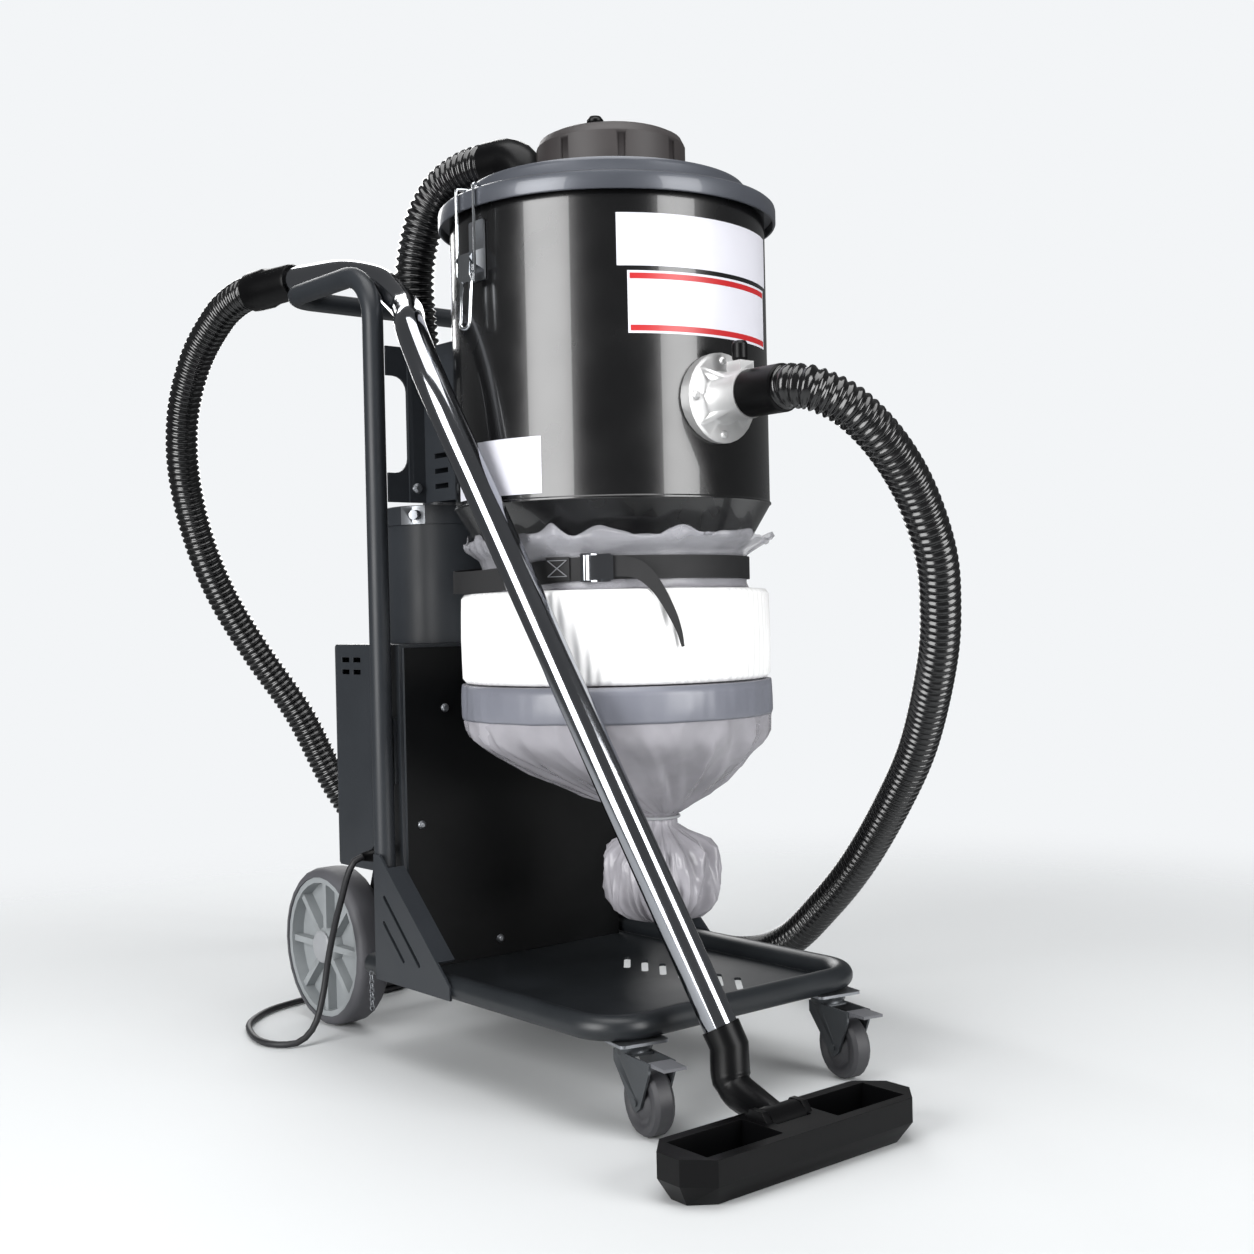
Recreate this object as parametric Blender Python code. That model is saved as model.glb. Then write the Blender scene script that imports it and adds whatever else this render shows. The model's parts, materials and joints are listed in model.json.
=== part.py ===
"""Industrial dust collector: a drum with a bag below it on a wheeled frame, hose, wand and floor nozzle.

Metres, +Z up, front towards -Y, floor at z = 0. The pieces are laid out round the drum's axis; a root
empty then carries them, so that the machine's footprint is centred on the world origin.
"""
import math

import bmesh
import bpy
from mathutils import Matrix, Vector

# ---------------------------------------------------------------- driving dimensions
GAP = 0.0003                # clearance between pieces that touch
RUN = 0.0006                # running clearance round pieces that turn
SHEET = 0.003               # steel sheet of platform, gussets and brackets

DRUM_R = 0.180
DRUM_Y = -0.050
DRUM_WALL = 0.002
DRUM_LOW = 0.637            # seam where the straight wall meets the discharge cone
DRUM_TOP = 0.969
CONE_LOW = 0.593
NECK_R = 0.149              # neck that the bag hangs from
CONE_R = NECK_R + 0.005     # small end of the cone
NECK_LOW = 0.500

LID_R = DRUM_R + 0.013
LID_EDGE = DRUM_TOP + 0.007         # top of the lid's rim
LID_RIM = 0.021             # depth of the rim
LID_DISC_R = DRUM_R - 0.020
LID_TOP = LID_EDGE + 0.022
LID_WALL = 0.004
CAP_R = 0.085               # pulse-cleaning cap
CAP_TOP = LID_TOP + 0.060
CAP_Y = -0.060
CAP_WALL = 0.004
KNOB_X, KNOB_Y = -0.040, -0.082
KNOB_R = 0.0095
KNOB_TRAVEL = 0.004
ELBOW_X, ELBOW_Y = -0.035, 0.055
ELBOW_TOP = LID_TOP + 0.064         # height of the hose's centre where it leaves the elbow
ELBOW_R = 0.026
ELBOW_END = Vector((-0.050, 0.112, ELBOW_TOP))

TUBE_R = 0.013              # platform rail
RAIL_X = 0.182
RAIL_Z = 0.104
RAIL_FRONT = -0.2486
RAIL_BACK = 0.200
RAIL_CORNER = 0.048
POST_R = 0.0125             # uprights and push handle
POST_X = RAIL_X + TUBE_R - POST_R
POST_Y = 0.168
HANDLE_Z = 0.930
HANDLE_BACK = 0.376
HANDLE_BEND = 0.060
HANDLE_CORNER = 0.035
PLATE_Z = 0.094             # underside of the platform sheet
GUSSET_TOP = 0.240

WHEEL_R = 0.100
WHEEL_W = 0.045
WHEEL_X = 0.172             # outer face of a rear wheel
WHEEL_RIM_R = WHEEL_R - 0.0115
WHEEL_BOSS_R = 0.024
AXLE_R = 0.010
AXLE_Y = 0.347
CARRIER_X = 0.1153          # inner face of the axle carrier's cheeks
CARRIER_FRONT = 0.200

CASTER_X, CASTER_Y = 0.142, -0.237
CASTER_R = 0.035
CASTER_W = 0.024
CASTER_H = RAIL_Z - TUBE_R - GAP
CASTER_TRAIL = 0.030
CASTER_YAW = math.radians(-11)
PEDAL_Y, PEDAL_Z = -0.050, 0.074
PEDAL_L = 0.033             # short enough to swing past the parked nozzle

BOX_X = 0.165               # motor housing
BOX_FRONT, BOX_BACK = 0.155, 0.305
BOX_LOW, BOX_TOP = 0.210, 0.486
BOX_WALL = 0.002
SWITCH_X, SWITCH_Z = 0.080, 0.400

CAN_X, CAN_Y = -0.047, 0.230
CAN_R = 0.0735              # fine-filter canister
CAN_TOP = 0.652
CAN_WALL = 0.0025
PORT_R = 0.027              # hose port on the canister's lid

SADDLE_X = 0.122            # folded bracket behind the drum
SADDLE_Y = DRUM_Y + DRUM_R + 0.0045
SADDLE_LOW, SADDLE_TOP = 0.655, 0.840
ARM_Y = 0.158               # arms on the uprights

INLET_Z = 0.743
INLET_BORE = 0.0229
FLANGE_R = 0.048
FLANGE_Y = DRUM_Y - DRUM_R - 0.008   # front face of the inlet flange
SPIGOT_R = 0.026
SPIGOT_Y = FLANGE_Y - 0.042
CUFF_R = 0.025
CUFF_Y = SPIGOT_Y - 0.050
HOSE_R = 0.0228
PLUNGER_Y = FLANGE_Y - 0.027
PLUNGER_TRAVEL = 0.006

LATCH_Z = LID_EDGE - 0.076  # latch lever's pivot
LATCH_OUT = 0.016           # pivot's distance from the drum's wall
BAIL_DROP = 0.015           # bail's pivot below the lever's pivot
BAIL_HALF = 0.016
BAIL_R = 0.0016

HOOP_R = 0.177              # white ring that holds the bag's supply
HOOP_LOW, HOOP_TOP = 0.441, 0.543
BAG_T = 0.0012
BAG_FACETS = 32             # bag, strap and bag ring, which lie one in the other
BAG_IN = NECK_R / math.cos(math.pi / BAG_FACETS) + GAP
HOOP_IN = BAG_IN + BAG_T + GAP
TIE_X, TIE_Y, TIE_Z = 0.036, -0.080, 0.280
TIE_R = 0.020
POUCH_R = 0.066
POUCH_LOW = 0.160
STRAP_Z = 0.566
STRAP_W = 0.025
STRAP_T = 0.002
BUCKLE_AT = math.radians(-136.8)    # bearing of the buckle seen from above

WAND_R = 0.0175
WAND_FOOT = Vector((-0.106, -0.327, 0.112))
WAND_TURN = Vector((-0.228, -0.005, 0.800))
WAND_REST = Vector((-0.150, HANDLE_BACK, HANDLE_Z + POST_R + WAND_R + GAP))
WAND_END = Vector((-0.153, 0.410, HANDLE_Z + 0.032))
CUFF_END = Vector((-0.165, 0.503, HANDLE_Z + 0.032))
HOSE_OUT = (CUFF_END - WAND_END).normalized()
HOSE_END = WAND_END + HOSE_OUT * (0.094 + GAP)
NOZZLE_X, NOZZLE_Y = -0.106, -0.420
NOZZLE_L, NOZZLE_D, NOZZLE_H = 0.304, 0.078, 0.044
NOZZLE_KNEE = 0.020         # height where the head's undercut sides turn upright
NOZZLE_UNDERCUT = 0.012
TILT_Y, TILT_Z = -0.405, 0.036
TILT_R = 0.017

GLAND_Y, GLAND_Z = 0.205, 0.232
CORD_R = 0.004
COIL_X, COIL_Y = -0.020, 0.500
COIL_IN, COIL_OUT = 0.032, 0.064
COIL_H = 0.032

DRUM_FACETS = 56
ROUND = 28                  # facets round other large turned pieces
SMALL = 16                  # facets round small ones

# ---------------------------------------------------------------- finishes
FINISHES = {                # base colour, roughness, metallic
    "gloss_black": ((0.010, 0.010, 0.011), 0.20, 0.0),
    "lid_paint": ((0.090, 0.105, 0.130), 0.35, 0.3),
    "slate_powder_coat": ((0.036, 0.041, 0.046), 0.45, 0.1),
    "platform_steel": ((0.022, 0.025, 0.028), 0.50, 0.1),
    "black_plastic": ((0.012, 0.012, 0.012), 0.45, 0.0),
    "brown_plastic": ((0.040, 0.033, 0.030), 0.60, 0.0),
    "hose_plastic": ((0.010, 0.010, 0.010), 0.30, 0.0),
    "tyre_rubber": ((0.085, 0.085, 0.090), 0.60, 0.0),
    "grey_plastic": ((0.270, 0.280, 0.290), 0.50, 0.0),
    "white_plastic": ((0.850, 0.850, 0.850), 0.40, 0.0),
    "bag_film": ((0.600, 0.600, 0.620), 0.35, 0.0),
    "cast_aluminium": ((0.580, 0.580, 0.580), 0.40, 1.0),
    "zinc_plate": ((0.300, 0.310, 0.320), 0.35, 1.0),
    "chrome": ((0.750, 0.750, 0.750), 0.08, 1.0),
    "filter_media": ((0.700, 0.690, 0.650), 0.90, 0.0),
    "webbing": ((0.020, 0.020, 0.022), 0.80, 0.0),
    "cord_jacket": ((0.010, 0.010, 0.010), 0.50, 0.0),
}

MADE = []                   # every object in the order it was made, cutters included


def clear_scene():
    for old in list(bpy.data.objects):
        bpy.data.objects.remove(old)


def finish(name):
    """The Principled material of one finish, made once."""
    made = bpy.data.materials.get(name)
    if made:
        return made
    colour, roughness, metallic = FINISHES[name]
    made = bpy.data.materials.new(name)
    made.use_nodes = True
    shader = made.node_tree.nodes["Principled BSDF"]
    shader.inputs["Base Color"].default_value = (*colour, 1.0)
    shader.inputs["Roughness"].default_value = roughness
    shader.inputs["Metallic"].default_value = metallic
    return made


def add(name, data, look):
    obj = bpy.data.objects.new(name, data)
    bpy.context.scene.collection.objects.link(obj)
    data.materials.append(finish(look))
    MADE.append(obj)
    return obj


def mesh_object(name, look, points, faces):
    """A closed mesh with its normals outward and its edges sharp above 35 degrees."""
    mesh = bpy.data.meshes.new(name)
    mesh.from_pydata([tuple(p) for p in points], [], faces)
    work = bmesh.new()
    work.from_mesh(mesh)
    bmesh.ops.recalc_face_normals(work, faces=work.faces)
    work.to_mesh(mesh)
    work.free()
    mesh.shade_smooth()
    mesh.set_sharp_from_angle(angle=math.radians(35))
    return add(name, mesh, look)


def frame_of(axis):
    """Rotation that carries +Z onto the given direction."""
    return Vector((0, 0, 1)).rotation_difference(Vector(axis)).to_matrix().to_4x4()


def skin(low, high, facets):
    """Faces between two rings, either of which may be a single point."""
    faces = []
    for i in range(facets):
        j = (i + 1) % facets
        if len(low) == 1 and len(high) > 1:
            faces.append((low[0], high[i], high[j]))
        elif len(high) == 1 and len(low) > 1:
            faces.append((low[i], low[j], high[0]))
        elif len(low) > 1:
            faces.append((low[i], low[j], high[j], high[i]))
    return faces


def lofted(name, look, stations, facets=SMALL, seat=Matrix()):
    """A skin over level rings, each (x, y, z, radius), that runs on from the last to the first."""
    points = []
    rings = []
    for x, y, z, radius in stations:
        count = 1 if radius < GAP / 10 else facets
        rings.append(list(range(len(points), len(points) + count)))
        for i in range(count):
            turn = 2 * math.pi * i / count
            points.append(seat @ Vector((x + radius * math.cos(turn), y + radius * math.sin(turn), z)))
    faces = []
    for low, high in zip(rings, rings[1:] + rings[:1]):
        faces += skin(low, high, facets)
    return mesh_object(name, look, points, faces)


def turned(name, look, outline, at=(0, 0, 0), axis=(0, 0, 1), facets=SMALL):
    """A turned solid from a (radius, height) outline, closed on itself or at the axis."""
    seat = Matrix.Translation(Vector(at)) @ frame_of(axis)
    return lofted(name, look, [(0, 0, height, radius) for radius, height in outline], facets, seat)


def rod(name, look, radius, start, end, facets=SMALL):
    """A plain round bar between two points."""
    along = Vector(end) - Vector(start)
    outline = [(0, 0), (radius, 0), (radius, along.length), (0, along.length)]
    return turned(name, look, outline, start, along, facets)


def bar(name, look, path, radius, facets=SMALL):
    """A round bar swept along a path; a list of radii lets its thickness change along it."""
    path = [Vector(p) for p in path]
    radii = radius if isinstance(radius, list) else [radius] * len(path)
    side = (path[1] - path[0]).orthogonal().normalized()
    points = []
    for i, here in enumerate(path):
        along = (path[min(i + 1, len(path) - 1)] - path[max(i - 1, 0)]).normalized()
        side = (side - along * side.dot(along)).normalized()
        other = along.cross(side)
        for k in range(facets):
            turn = 2 * math.pi * k / facets
            points.append(here + (side * math.cos(turn) + other * math.sin(turn)) * radii[i])
    rings = [list(range(i * facets, (i + 1) * facets)) for i in range(len(path))]
    faces = [tuple(rings[0]), tuple(rings[-1])]
    for low, high in zip(rings, rings[1:]):
        faces += skin(low, high, facets)
    return mesh_object(name, look, points, faces)


def prism(name, look, outline, low, high, plane="xy"):
    """A flat outline pushed out between two heights across the plane named."""
    def spot(a, b, c):
        return {"xy": (a, b, c), "xz": (a, c, b), "yz": (c, a, b)}[plane]
    count = len(outline)
    points = [spot(a, b, low) for a, b in outline] + [spot(a, b, high) for a, b in outline]
    faces = [tuple(range(count)), tuple(range(2 * count - 1, count - 1, -1))]
    faces += [(i, (i + 1) % count, count + (i + 1) % count, count + i) for i in range(count)]
    return mesh_object(name, look, points, faces)


def block(name, look, low, high):
    (x0, y0, z0), (x1, y1, z1) = low, high
    return prism(name, look, [(x0, y0), (x1, y0), (x1, y1), (x0, y1)], z0, z1)


def arc(cx, cy, radius, start, end, steps):
    """Points on an arc, with its angles in degrees."""
    turns = [math.radians(start + (end - start) * i / steps) for i in range(steps + 1)]
    return [(cx + radius * math.cos(turn), cy + radius * math.sin(turn)) for turn in turns]


def rounded(x0, y0, x1, y1, radius, steps=4):
    """A rectangle's outline with round corners."""
    return (arc(x1 - radius, y1 - radius, radius, 0, 90, steps)
            + arc(x0 + radius, y1 - radius, radius, 90, 180, steps)
            + arc(x0 + radius, y0 + radius, radius, 180, 270, steps)
            + arc(x1 - radius, y0 + radius, radius, 270, 360, steps))


def slot_outline(length, width):
    return rounded(-length / 2, -width / 2, length / 2, width / 2, width * 0.49, 3)


def tube(name, look, path, radius, sides=3):
    """A free hose or cord: a curve with a round bevel and filled caps."""
    data = bpy.data.curves.new(name, "CURVE")
    data.dimensions = "3D"
    data.bevel_depth = radius
    data.bevel_resolution = sides
    data.use_fill_caps = True
    spline = data.splines.new("POLY")
    spline.points.add(len(path) - 1)
    for slot, point in zip(spline.points, path):
        slot.co = (*point, 1.0)
    return add(name, data, look)


def bent(corners, radii, steps=6):
    """A path through corner points, each inner corner rounded to its own radius."""
    out = [Vector(corners[0])]
    for before, corner, after, radius in zip(corners, corners[1:], corners[2:], radii):
        corner = Vector(corner)
        back = (Vector(before) - corner).normalized()
        onward = (Vector(after) - corner).normalized()
        half = back.angle(onward) / 2
        centre = corner + (back + onward).normalized() * (radius / math.sin(half))
        first = corner + back * (radius / math.tan(half)) - centre
        last = corner + onward * (radius / math.tan(half)) - centre
        normal = first.cross(last).normalized()
        sweep = first.angle(last)
        for i in range(steps + 1):
            out.append(centre + Matrix.Rotation(sweep * i / steps, 3, normal) @ first)
    out.append(Vector(corners[-1]))
    return out


def route(stops, spacing):
    """Evenly spaced points on a smooth curve through the stops."""
    stops = [Vector(p) for p in stops]
    ends = [2 * stops[0] - stops[1]] + stops + [2 * stops[-1] - stops[-2]]
    fine = []
    for a, b, c, d in zip(ends, ends[1:], ends[2:], ends[3:]):
        for i in range(24):
            t = i / 24
            fine.append(0.5 * (2 * b + (c - a) * t + (2 * a - 5 * b + 4 * c - d) * t * t
                               + (3 * b - a - 3 * c + d) * t ** 3))
    fine.append(stops[-1])
    length = sum((q - p).length for p, q in zip(fine, fine[1:]))
    count = max(2, round(length / spacing))
    out = [fine[0]]
    walked = 0.0
    for p, q in zip(fine, fine[1:]):
        step = (q - p).length
        while len(out) < count and walked + step >= length * len(out) / count:
            out.append(p.lerp(q, (length * len(out) / count - walked) / step))
        walked += step
    return out + [fine[-1]]


def combine(target, tool, operation):
    tool.hide_render = True
    tool.display_type = "WIRE"
    step = target.modifiers.new(operation.lower(), "BOOLEAN")
    step.operation = operation
    step.solver = "EXACT"
    step.object = tool
    return target


def cut(target, tool):
    return combine(target, tool, "DIFFERENCE")


def join(target, tool):
    return combine(target, tool, "UNION")


def hinge_at(obj, point):
    """Put an object's origin on its joint axis and leave its shape where it is."""
    obj.data.transform(Matrix.Translation(-Vector(point)))
    obj.matrix_basis = Matrix.Translation(Vector(point))
    return obj


def move_since(count, matrix):
    """Carry everything made since the list had this many objects."""
    for obj in MADE[count:]:
        obj.matrix_basis = matrix @ obj.matrix_basis


def side_name(sign):
    return "left" if sign < 0 else "right"


def screw(target, at, axis, radius=0.0055, height=0.003):
    """A domed screw head that is one with the piece it holds."""
    sunk = -0.001
    outline = [(0, sunk), (radius, sunk), (radius * 0.94, height * 0.5), (radius * 0.5, height), (0, height)]
    join(target, turned(target.name + "_screw", "zinc_plate", outline, at, axis, 12))


# ---------------------------------------------------------------- wheeled frame
def frame_tubes():
    """The rail round the platform, and the uprights with the push handle, bent from round tube."""
    rail = [(-RAIL_X, RAIL_BACK, RAIL_Z), (-RAIL_X, RAIL_FRONT, RAIL_Z),
            (RAIL_X, RAIL_FRONT, RAIL_Z), (RAIL_X, RAIL_BACK, RAIL_Z)]
    bar("frame_rail", "platform_steel", bent(rail, [RAIL_CORNER] * 2), TUBE_R)
    foot = RAIL_Z + TUBE_R + GAP
    handle = [(-POST_X, POST_Y, foot), (-POST_X, POST_Y, HANDLE_Z), (-POST_X, HANDLE_BACK, HANDLE_Z),
              (POST_X, HANDLE_BACK, HANDLE_Z), (POST_X, POST_Y, HANDLE_Z), (POST_X, POST_Y, foot)]
    radii = [HANDLE_BEND, HANDLE_CORNER, HANDLE_CORNER, HANDLE_BEND]
    bar("handle_frame", "slate_powder_coat", bent(handle, radii), POST_R)


def beside_tube(radius, height):
    """Reach of a round tube at a height above or below its centre, with the gap."""
    return math.sqrt(radius ** 2 - height ** 2) + GAP


def base_plate():
    """The platform sheet inside the rail, with a tongue to the axle and a row of drain slots."""
    reach = beside_tube(TUBE_R, RAIL_Z - PLATE_Z - SHEET)
    x, front, back = RAIL_X - reach, RAIL_FRONT + reach, CARRIER_FRONT - GAP
    tongue_x, tongue_back = CARRIER_X - GAP, 0.300
    corner = RAIL_CORNER - reach
    outline = (arc(-x + corner, front + corner, corner, 180, 270, 6)
               + arc(x - corner, front + corner, corner, 270, 360, 6)
               + [(x, back), (tongue_x, back), (tongue_x, tongue_back), (-tongue_x, tongue_back),
                  (-tongue_x, back), (-x, back)])
    plate = prism("base_plate", "platform_steel", outline, PLATE_Z, PLATE_Z + SHEET)
    first, pitch, drift = Vector((0.055, 0.009, PLATE_Z)), 0.029, 0.0032
    for i in range(7):
        slot = prism("drain_slot", "platform_steel", slot_outline(0.060, 0.008), -SHEET, 2 * SHEET)
        at = first + Vector((drift * i, -pitch * i, 0))
        slot.matrix_basis = Matrix.Translation(at) @ Matrix.Rotation(math.radians(50), 4, "Z")
        cut(plate, slot)


def gusset(sign):
    """A slotted corner plate outside the rail and the upright, with a folded sloping edge."""
    inner = sign * (RAIL_X + TUBE_R + GAP)
    outer = inner + sign * SHEET
    top, toe, foot, lip = (0.155, GUSSET_TOP), (0.011, 0.108), 0.093, POST_Y
    outline = [(lip, foot), (lip, GUSSET_TOP), top, toe, (toe[0], foot)]
    plate = prism("gusset_" + side_name(sign), "slate_powder_coat", outline, *sorted((inner, outer)), "yz")
    for start, end in (((0.147, 0.193), (0.071, 0.121)), ((0.149, 0.163), (0.104, 0.121))):
        along = Vector(end) - Vector(start)
        tool = prism("gusset_slot", "slate_powder_coat", slot_outline(along.length, 0.005), -0.01, 0.01, "yz")
        middle = (Vector(start) + Vector(end)) / 2
        tool.matrix_basis = (Matrix.Translation((inner, middle.x, middle.y))
                             @ Matrix.Rotation(math.atan2(along.y, along.x), 4, "X"))
        cut(plate, tool)
    slope = (Vector(toe) - Vector(top)).normalized()
    inward = Vector((-slope.y, slope.x)) * -SHEET
    if inward.y > 0:
        inward = -inward
    high, low = Vector(top) + slope * 0.020, Vector(top) + slope * 0.160
    fold = [tuple(high), tuple(low), tuple(low + inward), tuple(high + inward)]
    edge = prism("gusset_fold", "slate_powder_coat", fold, *sorted((outer, inner - sign * 0.022)), "yz")
    join(plate, edge)


def axle_carrier():
    """The channel under the motor housing that carries the rear axle."""
    front, deck_back, back = CARRIER_FRONT, BOX_BACK - 0.005, AXLE_Y + 0.018
    low, top, knee = 0.080, BOX_LOW - GAP, AXLE_Y - 0.020
    side = [(front, low), (back, low), (back, 0.125), (knee, 0.140), (deck_back, top), (front, top)]
    outer = CARRIER_X + SHEET
    carrier = prism("axle_carrier", "platform_steel", side, -outer, outer, "yz")
    cut(carrier, block("carrier_room", "platform_steel", (-CARRIER_X, front - SHEET, low - SHEET),
                       (CARRIER_X, back + SHEET, top - SHEET)))
    cut(carrier, rod("carrier_bore", "platform_steel", AXLE_R + GAP, (-BOX_X, AXLE_Y, WHEEL_R),
                     (BOX_X, AXLE_Y, WHEEL_R)))
    reach = WHEEL_X - 0.008
    rod("axle", "zinc_plate", AXLE_R, (-reach, AXLE_Y, WHEEL_R), (reach, AXLE_Y, WHEEL_R))


def rear_wheel(sign):
    """A moulded wheel with eight spokes and a blind hub, and its rubber tyre."""
    side = side_name(sign)
    half, lip, web, bore = WHEEL_W / 2, 0.007, 0.004, AXLE_R + RUN
    crown = 0.010
    at, out = (sign * (WHEEL_X - half), AXLE_Y, WHEEL_R), (sign, 0, 0)
    inner = [(WHEEL_RIM_R + GAP, -half), (WHEEL_R - crown, -half)]
    round_in = [(WHEEL_R - crown + crown * math.sin(math.radians(a)),
                 -half + crown - crown * math.cos(math.radians(a))) for a in (30, 60, 90)]
    round_out = [(radius, -height) for radius, height in reversed(round_in)]
    tyre = inner + round_in + round_out + [(radius, -height) for radius, height in reversed(inner)]
    turned("tyre_" + side, "tyre_rubber", tyre, at, out, ROUND)
    boss = half + 0.0065
    dome = half - 0.001
    hub = [(bore, -boss), (WHEEL_BOSS_R - 0.006, -boss), (WHEEL_BOSS_R, -half + 0.002), (WHEEL_BOSS_R, -web),
           (WHEEL_RIM_R - lip, -web), (WHEEL_RIM_R - lip, -half + 0.002), (WHEEL_RIM_R, -half + 0.002),
           (WHEEL_RIM_R, half - 0.002), (WHEEL_RIM_R - lip, half - 0.002), (WHEEL_RIM_R - lip, web),
           (WHEEL_BOSS_R, web), (WHEEL_BOSS_R, dome - 0.006), (WHEEL_BOSS_R - 0.006, dome), (0, dome + 0.001),
           (0, half - 0.0075), (bore, half - 0.0075)]
    wheel = turned("wheel_hub_" + side, "grey_plastic", hub, at, out, ROUND)
    seat = Matrix.Translation(Vector(at))
    for i in range(8):
        spoke = block("spoke", "grey_plastic", (-half + 0.006, WHEEL_BOSS_R - 0.002, -0.004),
                      (half - 0.006, WHEEL_RIM_R - lip + 0.002, 0.004))
        spoke.matrix_basis = seat @ Matrix.Rotation(math.pi * i / 4, 4, "X")
        join(wheel, spoke)
    hinge_at(wheel, at)


def caster(sign):
    """A braked swivel caster: fixed plate, fork, wheel on its axle, and brake pedal."""
    start = len(MADE)
    side = side_name(sign)
    top, plate_low = CASTER_H, CASTER_H - SHEET
    plate = prism("caster_plate_" + side, "zinc_plate", rounded(-0.028, -0.026, 0.028, 0.026, 0.006),
                  plate_low, top)
    pin_r, head_low = 0.006, plate_low - 0.014
    join(plate, rod("king_pin", "zinc_plate", pin_r, (0, 0, head_low - 0.001), (0, 0, top - SHEET / 2)))
    head_top = plate_low - RUN
    inner, leg = CASTER_W / 2 + 0.0012, 0.0025
    bore = pin_r + RUN
    head = [(bore, head_low + 0.003), (0.017, head_low + 0.003), (0.020, head_top - 0.004), (0.020, head_top),
            (bore, head_top)]
    fork = turned("caster_fork_" + side, "zinc_plate", head)
    crown = head_low + 0.005
    for k in (-1, 1):
        outline = [(0.014, crown), (PEDAL_Y - 0.007, crown), (PEDAL_Y - 0.007, PEDAL_Z - 0.006),
                   (-CASTER_TRAIL - 0.009, CASTER_R - 0.004), (-CASTER_TRAIL, CASTER_R - 0.010),
                   (-CASTER_TRAIL + 0.009, CASTER_R - 0.004), (0.014, crown - 0.012)]
        join(fork, prism("fork_leg", "zinc_plate", outline, *sorted((k * inner, k * (inner + leg))), "yz"))
    join(fork, block("fork_crown", "zinc_plate", (-inner - leg / 2, -0.018, crown - 0.0025),
                     (inner + leg / 2, 0.014, crown)))
    cut(fork, rod("king_bore", "zinc_plate", bore, (0, 0, crown - 0.010), (0, 0, top)))
    axle_r = 0.004
    pin = rod("fork_axle", "zinc_plate", axle_r, (-inner - leg - 0.002, -CASTER_TRAIL, CASTER_R),
              (inner + leg + 0.002, -CASTER_TRAIL, CASTER_R), 16)
    join(fork, pin)
    centre = Vector((0, -CASTER_TRAIL, CASTER_R))
    half, tread = CASTER_W / 2, CASTER_R
    tyre = [(axle_r + RUN, -half), (0.014, -half), (0.017, -half + 0.003), (0.024, -half + 0.003),
            (0.026, -half), (tread - 0.003, -half + 0.001), (tread, -half + 0.005)]
    outline = tyre + [(radius, -height) for radius, height in reversed(tyre)]
    wheel = turned("caster_wheel_" + side, "tyre_rubber", outline, centre, (1, 0, 0), SMALL + 8)
    hinge_at(wheel, centre)
    reach = inner - 2 * GAP
    pivot = Vector((0, PEDAL_Y, PEDAL_Z))
    pedal = rod("caster_pedal_" + side, "grey_plastic", 0.004, pivot - Vector((reach, 0, 0)),
                pivot + Vector((reach, 0, 0)), 16)
    tread_plate = [(PEDAL_Y + 0.002, PEDAL_Z), (PEDAL_Y - 0.002, PEDAL_Z + 0.005),
                   (PEDAL_Y - PEDAL_L, PEDAL_Z + 0.005), (PEDAL_Y - PEDAL_L, PEDAL_Z + 0.002),
                   (PEDAL_Y - 0.006, PEDAL_Z + 0.001)]
    join(pedal, prism("pedal_plate", "grey_plastic", tread_plate, -reach, reach, "yz"))
    hinge_at(pedal, pivot)
    place = Matrix.Translation((sign * CASTER_X, CASTER_Y, 0))
    move_since(start, place @ Matrix.Rotation(CASTER_YAW, 4, "Z"))


# ---------------------------------------------------------------- motor housing and fine filter
def motor_housing():
    """The sheet-steel housing over the rear wheels, its front panel reaching down to the platform."""
    low, top = BOX_LOW, BOX_TOP
    shell = block("motor_housing", "slate_powder_coat", (-BOX_X, BOX_FRONT, low), (BOX_X, BOX_BACK, top))
    wall = BOX_WALL
    cut(shell, block("housing_room", "slate_powder_coat", (-BOX_X + wall, BOX_FRONT + wall, low + wall),
                     (BOX_X - wall, BOX_BACK + wall, top - wall)))
    panel_x = BOX_X - 0.005
    join(shell, block("front_panel", "slate_powder_coat", (-panel_x, BOX_FRONT - SHEET, PLATE_Z + SHEET + GAP),
                      (panel_x, BOX_FRONT + wall / 2, top - 0.004)))
    cut(shell, rod("housing_duct", "slate_powder_coat", PORT_R, (CAN_X, CAN_Y, top - 0.01),
                   (CAN_X, CAN_Y, top + 0.01)))
    tab_x = POST_X - POST_R - GAP
    for sign in (-1, 1):
        low_x, high_x = sorted((sign * (BOX_X - wall / 2), sign * tab_x))
        join(shell, block("post_tab", "slate_powder_coat", (low_x, POST_Y - 0.005, 0.320),
                          (high_x, POST_Y + 0.005, 0.400)))
        for row in (0.449, 0.464):
            for y in (0.245, 0.272):
                cut(shell, block("vent", "slate_powder_coat", (sign * BOX_X - 0.01, y, row),
                                 (sign * BOX_X + 0.01, y + 0.018, row + 0.006)))
    for x, z in ((-0.104, 0.408), (-0.060, 0.380), (-0.030, 0.118), (-0.140, 0.270)):
        screw(shell, (x, BOX_FRONT - SHEET, z), (0, -1, 0))
    back_cover()


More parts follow.
